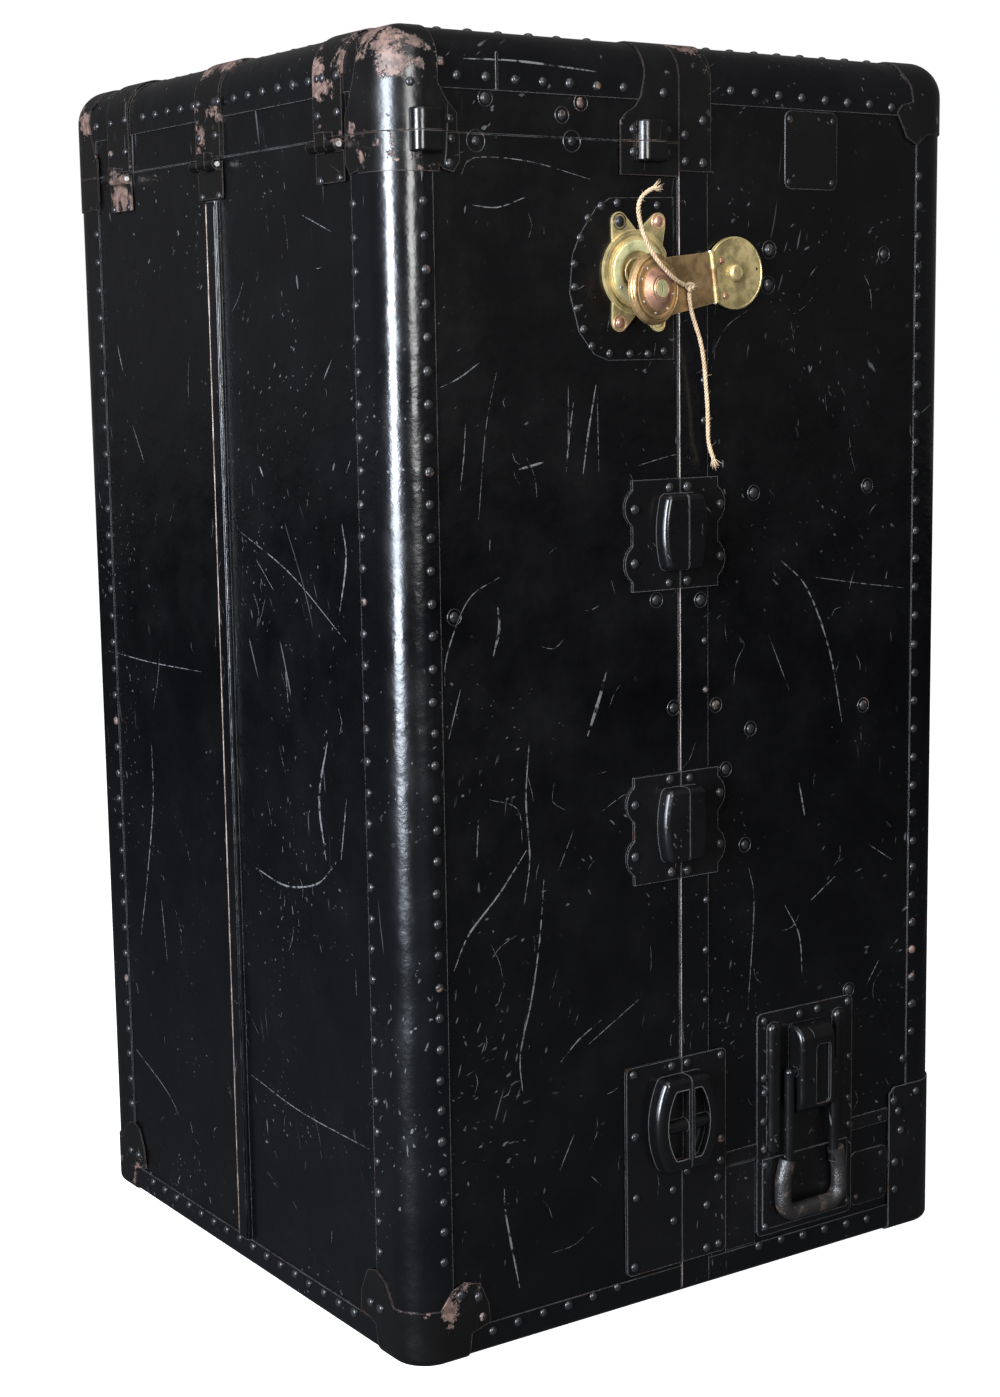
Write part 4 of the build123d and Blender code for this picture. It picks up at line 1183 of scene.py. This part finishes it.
for side, marks in (("front", FRONT_MARKS), ("left", LEFT_MARKS)):
    for width, *numbers in marks:
        scratch(side, list(zip(numbers[::2], numbers[1::2])), width)
FAINT = (("front", WIDTH, 90), ("left", DEPTH, 60), ("right", DEPTH, 60), ("back", WIDTH, 60))
for side, across, count in FAINT:
    for _ in range(count):
        u, v = dice.uniform(60, across - 60), dice.uniform(60, 980)
        tilt = math.radians(dice.choice((90, 90, 90, 60, 120, 20)) + dice.gauss(0, 14))
        long = min(60, 8 + dice.expovariate(1 / 14))
        bend = dice.gauss(0, 0.12) * long
        end = (u + long * math.cos(tilt), v + long * math.sin(tilt))
        middle = ((u + end[0]) / 2 - bend * math.sin(tilt), (v + end[1]) / 2 + bend * math.cos(tilt))
        if 50 < end[0] < across - 50 and 50 < end[1] < 985:
            scratch(side, ((u, v), middle, end), dice.uniform(0.25, 0.6), "faint_scratches")
print("scratches by hand:", len(FRONT_MARKS) + len(LEFT_MARKS))

# %% [markdown]
# All the small things are in a few meshes now, one for each kind and body. Each becomes
# a piece that rides on its body, so it opens and turns with the part it is fixed to.

# %% Turn the gathered meshes into pieces
for (kind, body), (mesh, finish) in gathered.items():
    piece_from(mesh, f"{kind}_{body}", finish, body)
print("small pieces:", len(gathered))

# %% [markdown]
# The floor is white paper that catches the trunk's shadow, but it is white for the camera only.
# To every other ray it is dark grey. That is painted shade: the trunk mirrors a dark floor
# and gets little light back from it. It glows for the camera, and more further off, so
# that it meets the white background without a line.

# %% Floor
floor_mesh = bpy.data.meshes.new("floor")
FLOOR_HALF = 12
floor_corners = [(x * FLOOR_HALF, y * FLOOR_HALF, 0) for x, y in ((-1, -1), (1, -1), (1, 1), (-1, 1))]
floor_mesh.from_pydata(floor_corners, [], [(0, 1, 2, 3)])
floor = bpy.data.objects.new("floor", floor_mesh)
show(floor)
paper = Finish("floor_paper")
seen = paper.add("ShaderNodeLightPath")
# Painted shade: the paper is pale only to the camera and dark grey to all other rays, so the trunk
# mirrors a dark floor and is lit by one.
grey = paper.blend(seen.outputs["Is Camera Ray"], (0.06, 0.06, 0.06), (0.8, 0.8, 0.8))
paper.join(grey, paper.shader.inputs["Base Color"])
paper.fixed(Roughness=0.9, Specular_IOR_Level=0.0, Emission_Color=(1, 1, 1, 1))
GLOW_NEAR, GLOW_MORE = 0.84, 0.16
away = paper.math("SUBTRACT", 1.0, paper.closeness((0, 0, 0), 0.45, 1.1))
glow = paper.math("ADD", GLOW_NEAR, paper.math("MULTIPLY", away, GLOW_MORE))
glow = paper.math("MULTIPLY", seen.outputs["Is Camera Ray"], glow)
paper.join(glow, paper.shader.inputs["Emission Strength"])
floor_mesh.materials.append(paper.material)
print("floor, in metres:", [round(v, 1) for v in floor.dimensions])

# %% [markdown]
# The camera sees a white room. The enamel and brass mirror it at about an eighth of that
# white, because the trunk in the photograph mirrors a dim one, and the rest of its light
# is dimmer still.

# %% Room
world = bpy.data.worlds.new("room")
bpy.context.scene.world = world
world.use_nodes = True
room = world.node_tree
sky = room.nodes["Background"]
rays = room.nodes.new("ShaderNodeLightPath")
level_of = room.nodes.new("ShaderNodeMapRange")
room.links.new(rays.outputs["Is Camera Ray"], level_of.inputs["Value"])
DIM_ROOM = 0.03
ROOM_IN_GLOSS = 0.1
level_of.inputs["To Min"].default_value = DIM_ROOM
level_of.inputs["To Max"].default_value = 1.0
mirrored = room.nodes.new("ShaderNodeMath")
mirrored.operation = "MAXIMUM"
room.links.new(rays.outputs["Is Glossy Ray"], mirrored.inputs[0])
room.links.new(rays.outputs["Is Transmission Ray"], mirrored.inputs[1])
room_light = room.nodes.new("ShaderNodeMath")
room_light.operation = "MULTIPLY_ADD"
room.links.new(mirrored.outputs[0], room_light.inputs[0])
room_light.inputs[1].default_value = ROOM_IN_GLOSS
room.links.new(level_of.outputs["Result"], room_light.inputs[2])
room.links.new(room_light.outputs[0], sky.inputs["Strength"])
sky.inputs["Color"].default_value = (1, 1, 1, 1)
print("white in the mirror of the enamel:", round(DIM_ROOM + ROOM_IN_GLOSS, 2))

# %% [markdown]
# Three soft lamps: a tall bluish one far to the left that draws the bright line down the
# rounded corner, a weak one above, and a weak one in front that lights the brass.


# %% Lamps
def softbox(name, spot, target, size, power, color=(1, 1, 1)):
    """A rectangular lamp that faces a place on the trunk."""
    data = bpy.data.lights.new(name, "AREA")
    data.shape = "RECTANGLE"
    data.size, data.size_y = size
    data.energy = power
    data.color = color
    lamp = bpy.data.objects.new(name, data)
    show(lamp)
    lamp.location = at(*spot)
    lamp.rotation_euler = (at(*target) - at(*spot)).to_track_quat("-Z", "Y").to_euler()


softbox("strip", (-2650, -850, 1050), (0, 0, 650), (1.1, 2.0), 360, (0.8, 0.88, 1.0))
softbox("overhead", (-300, -900, 2600), (200, 200, 600), (2.2, 2.2), 36)
softbox("front_fill", (-300, -2600, 1300), (280, 0, 700), (0.8, 1.2), 64)
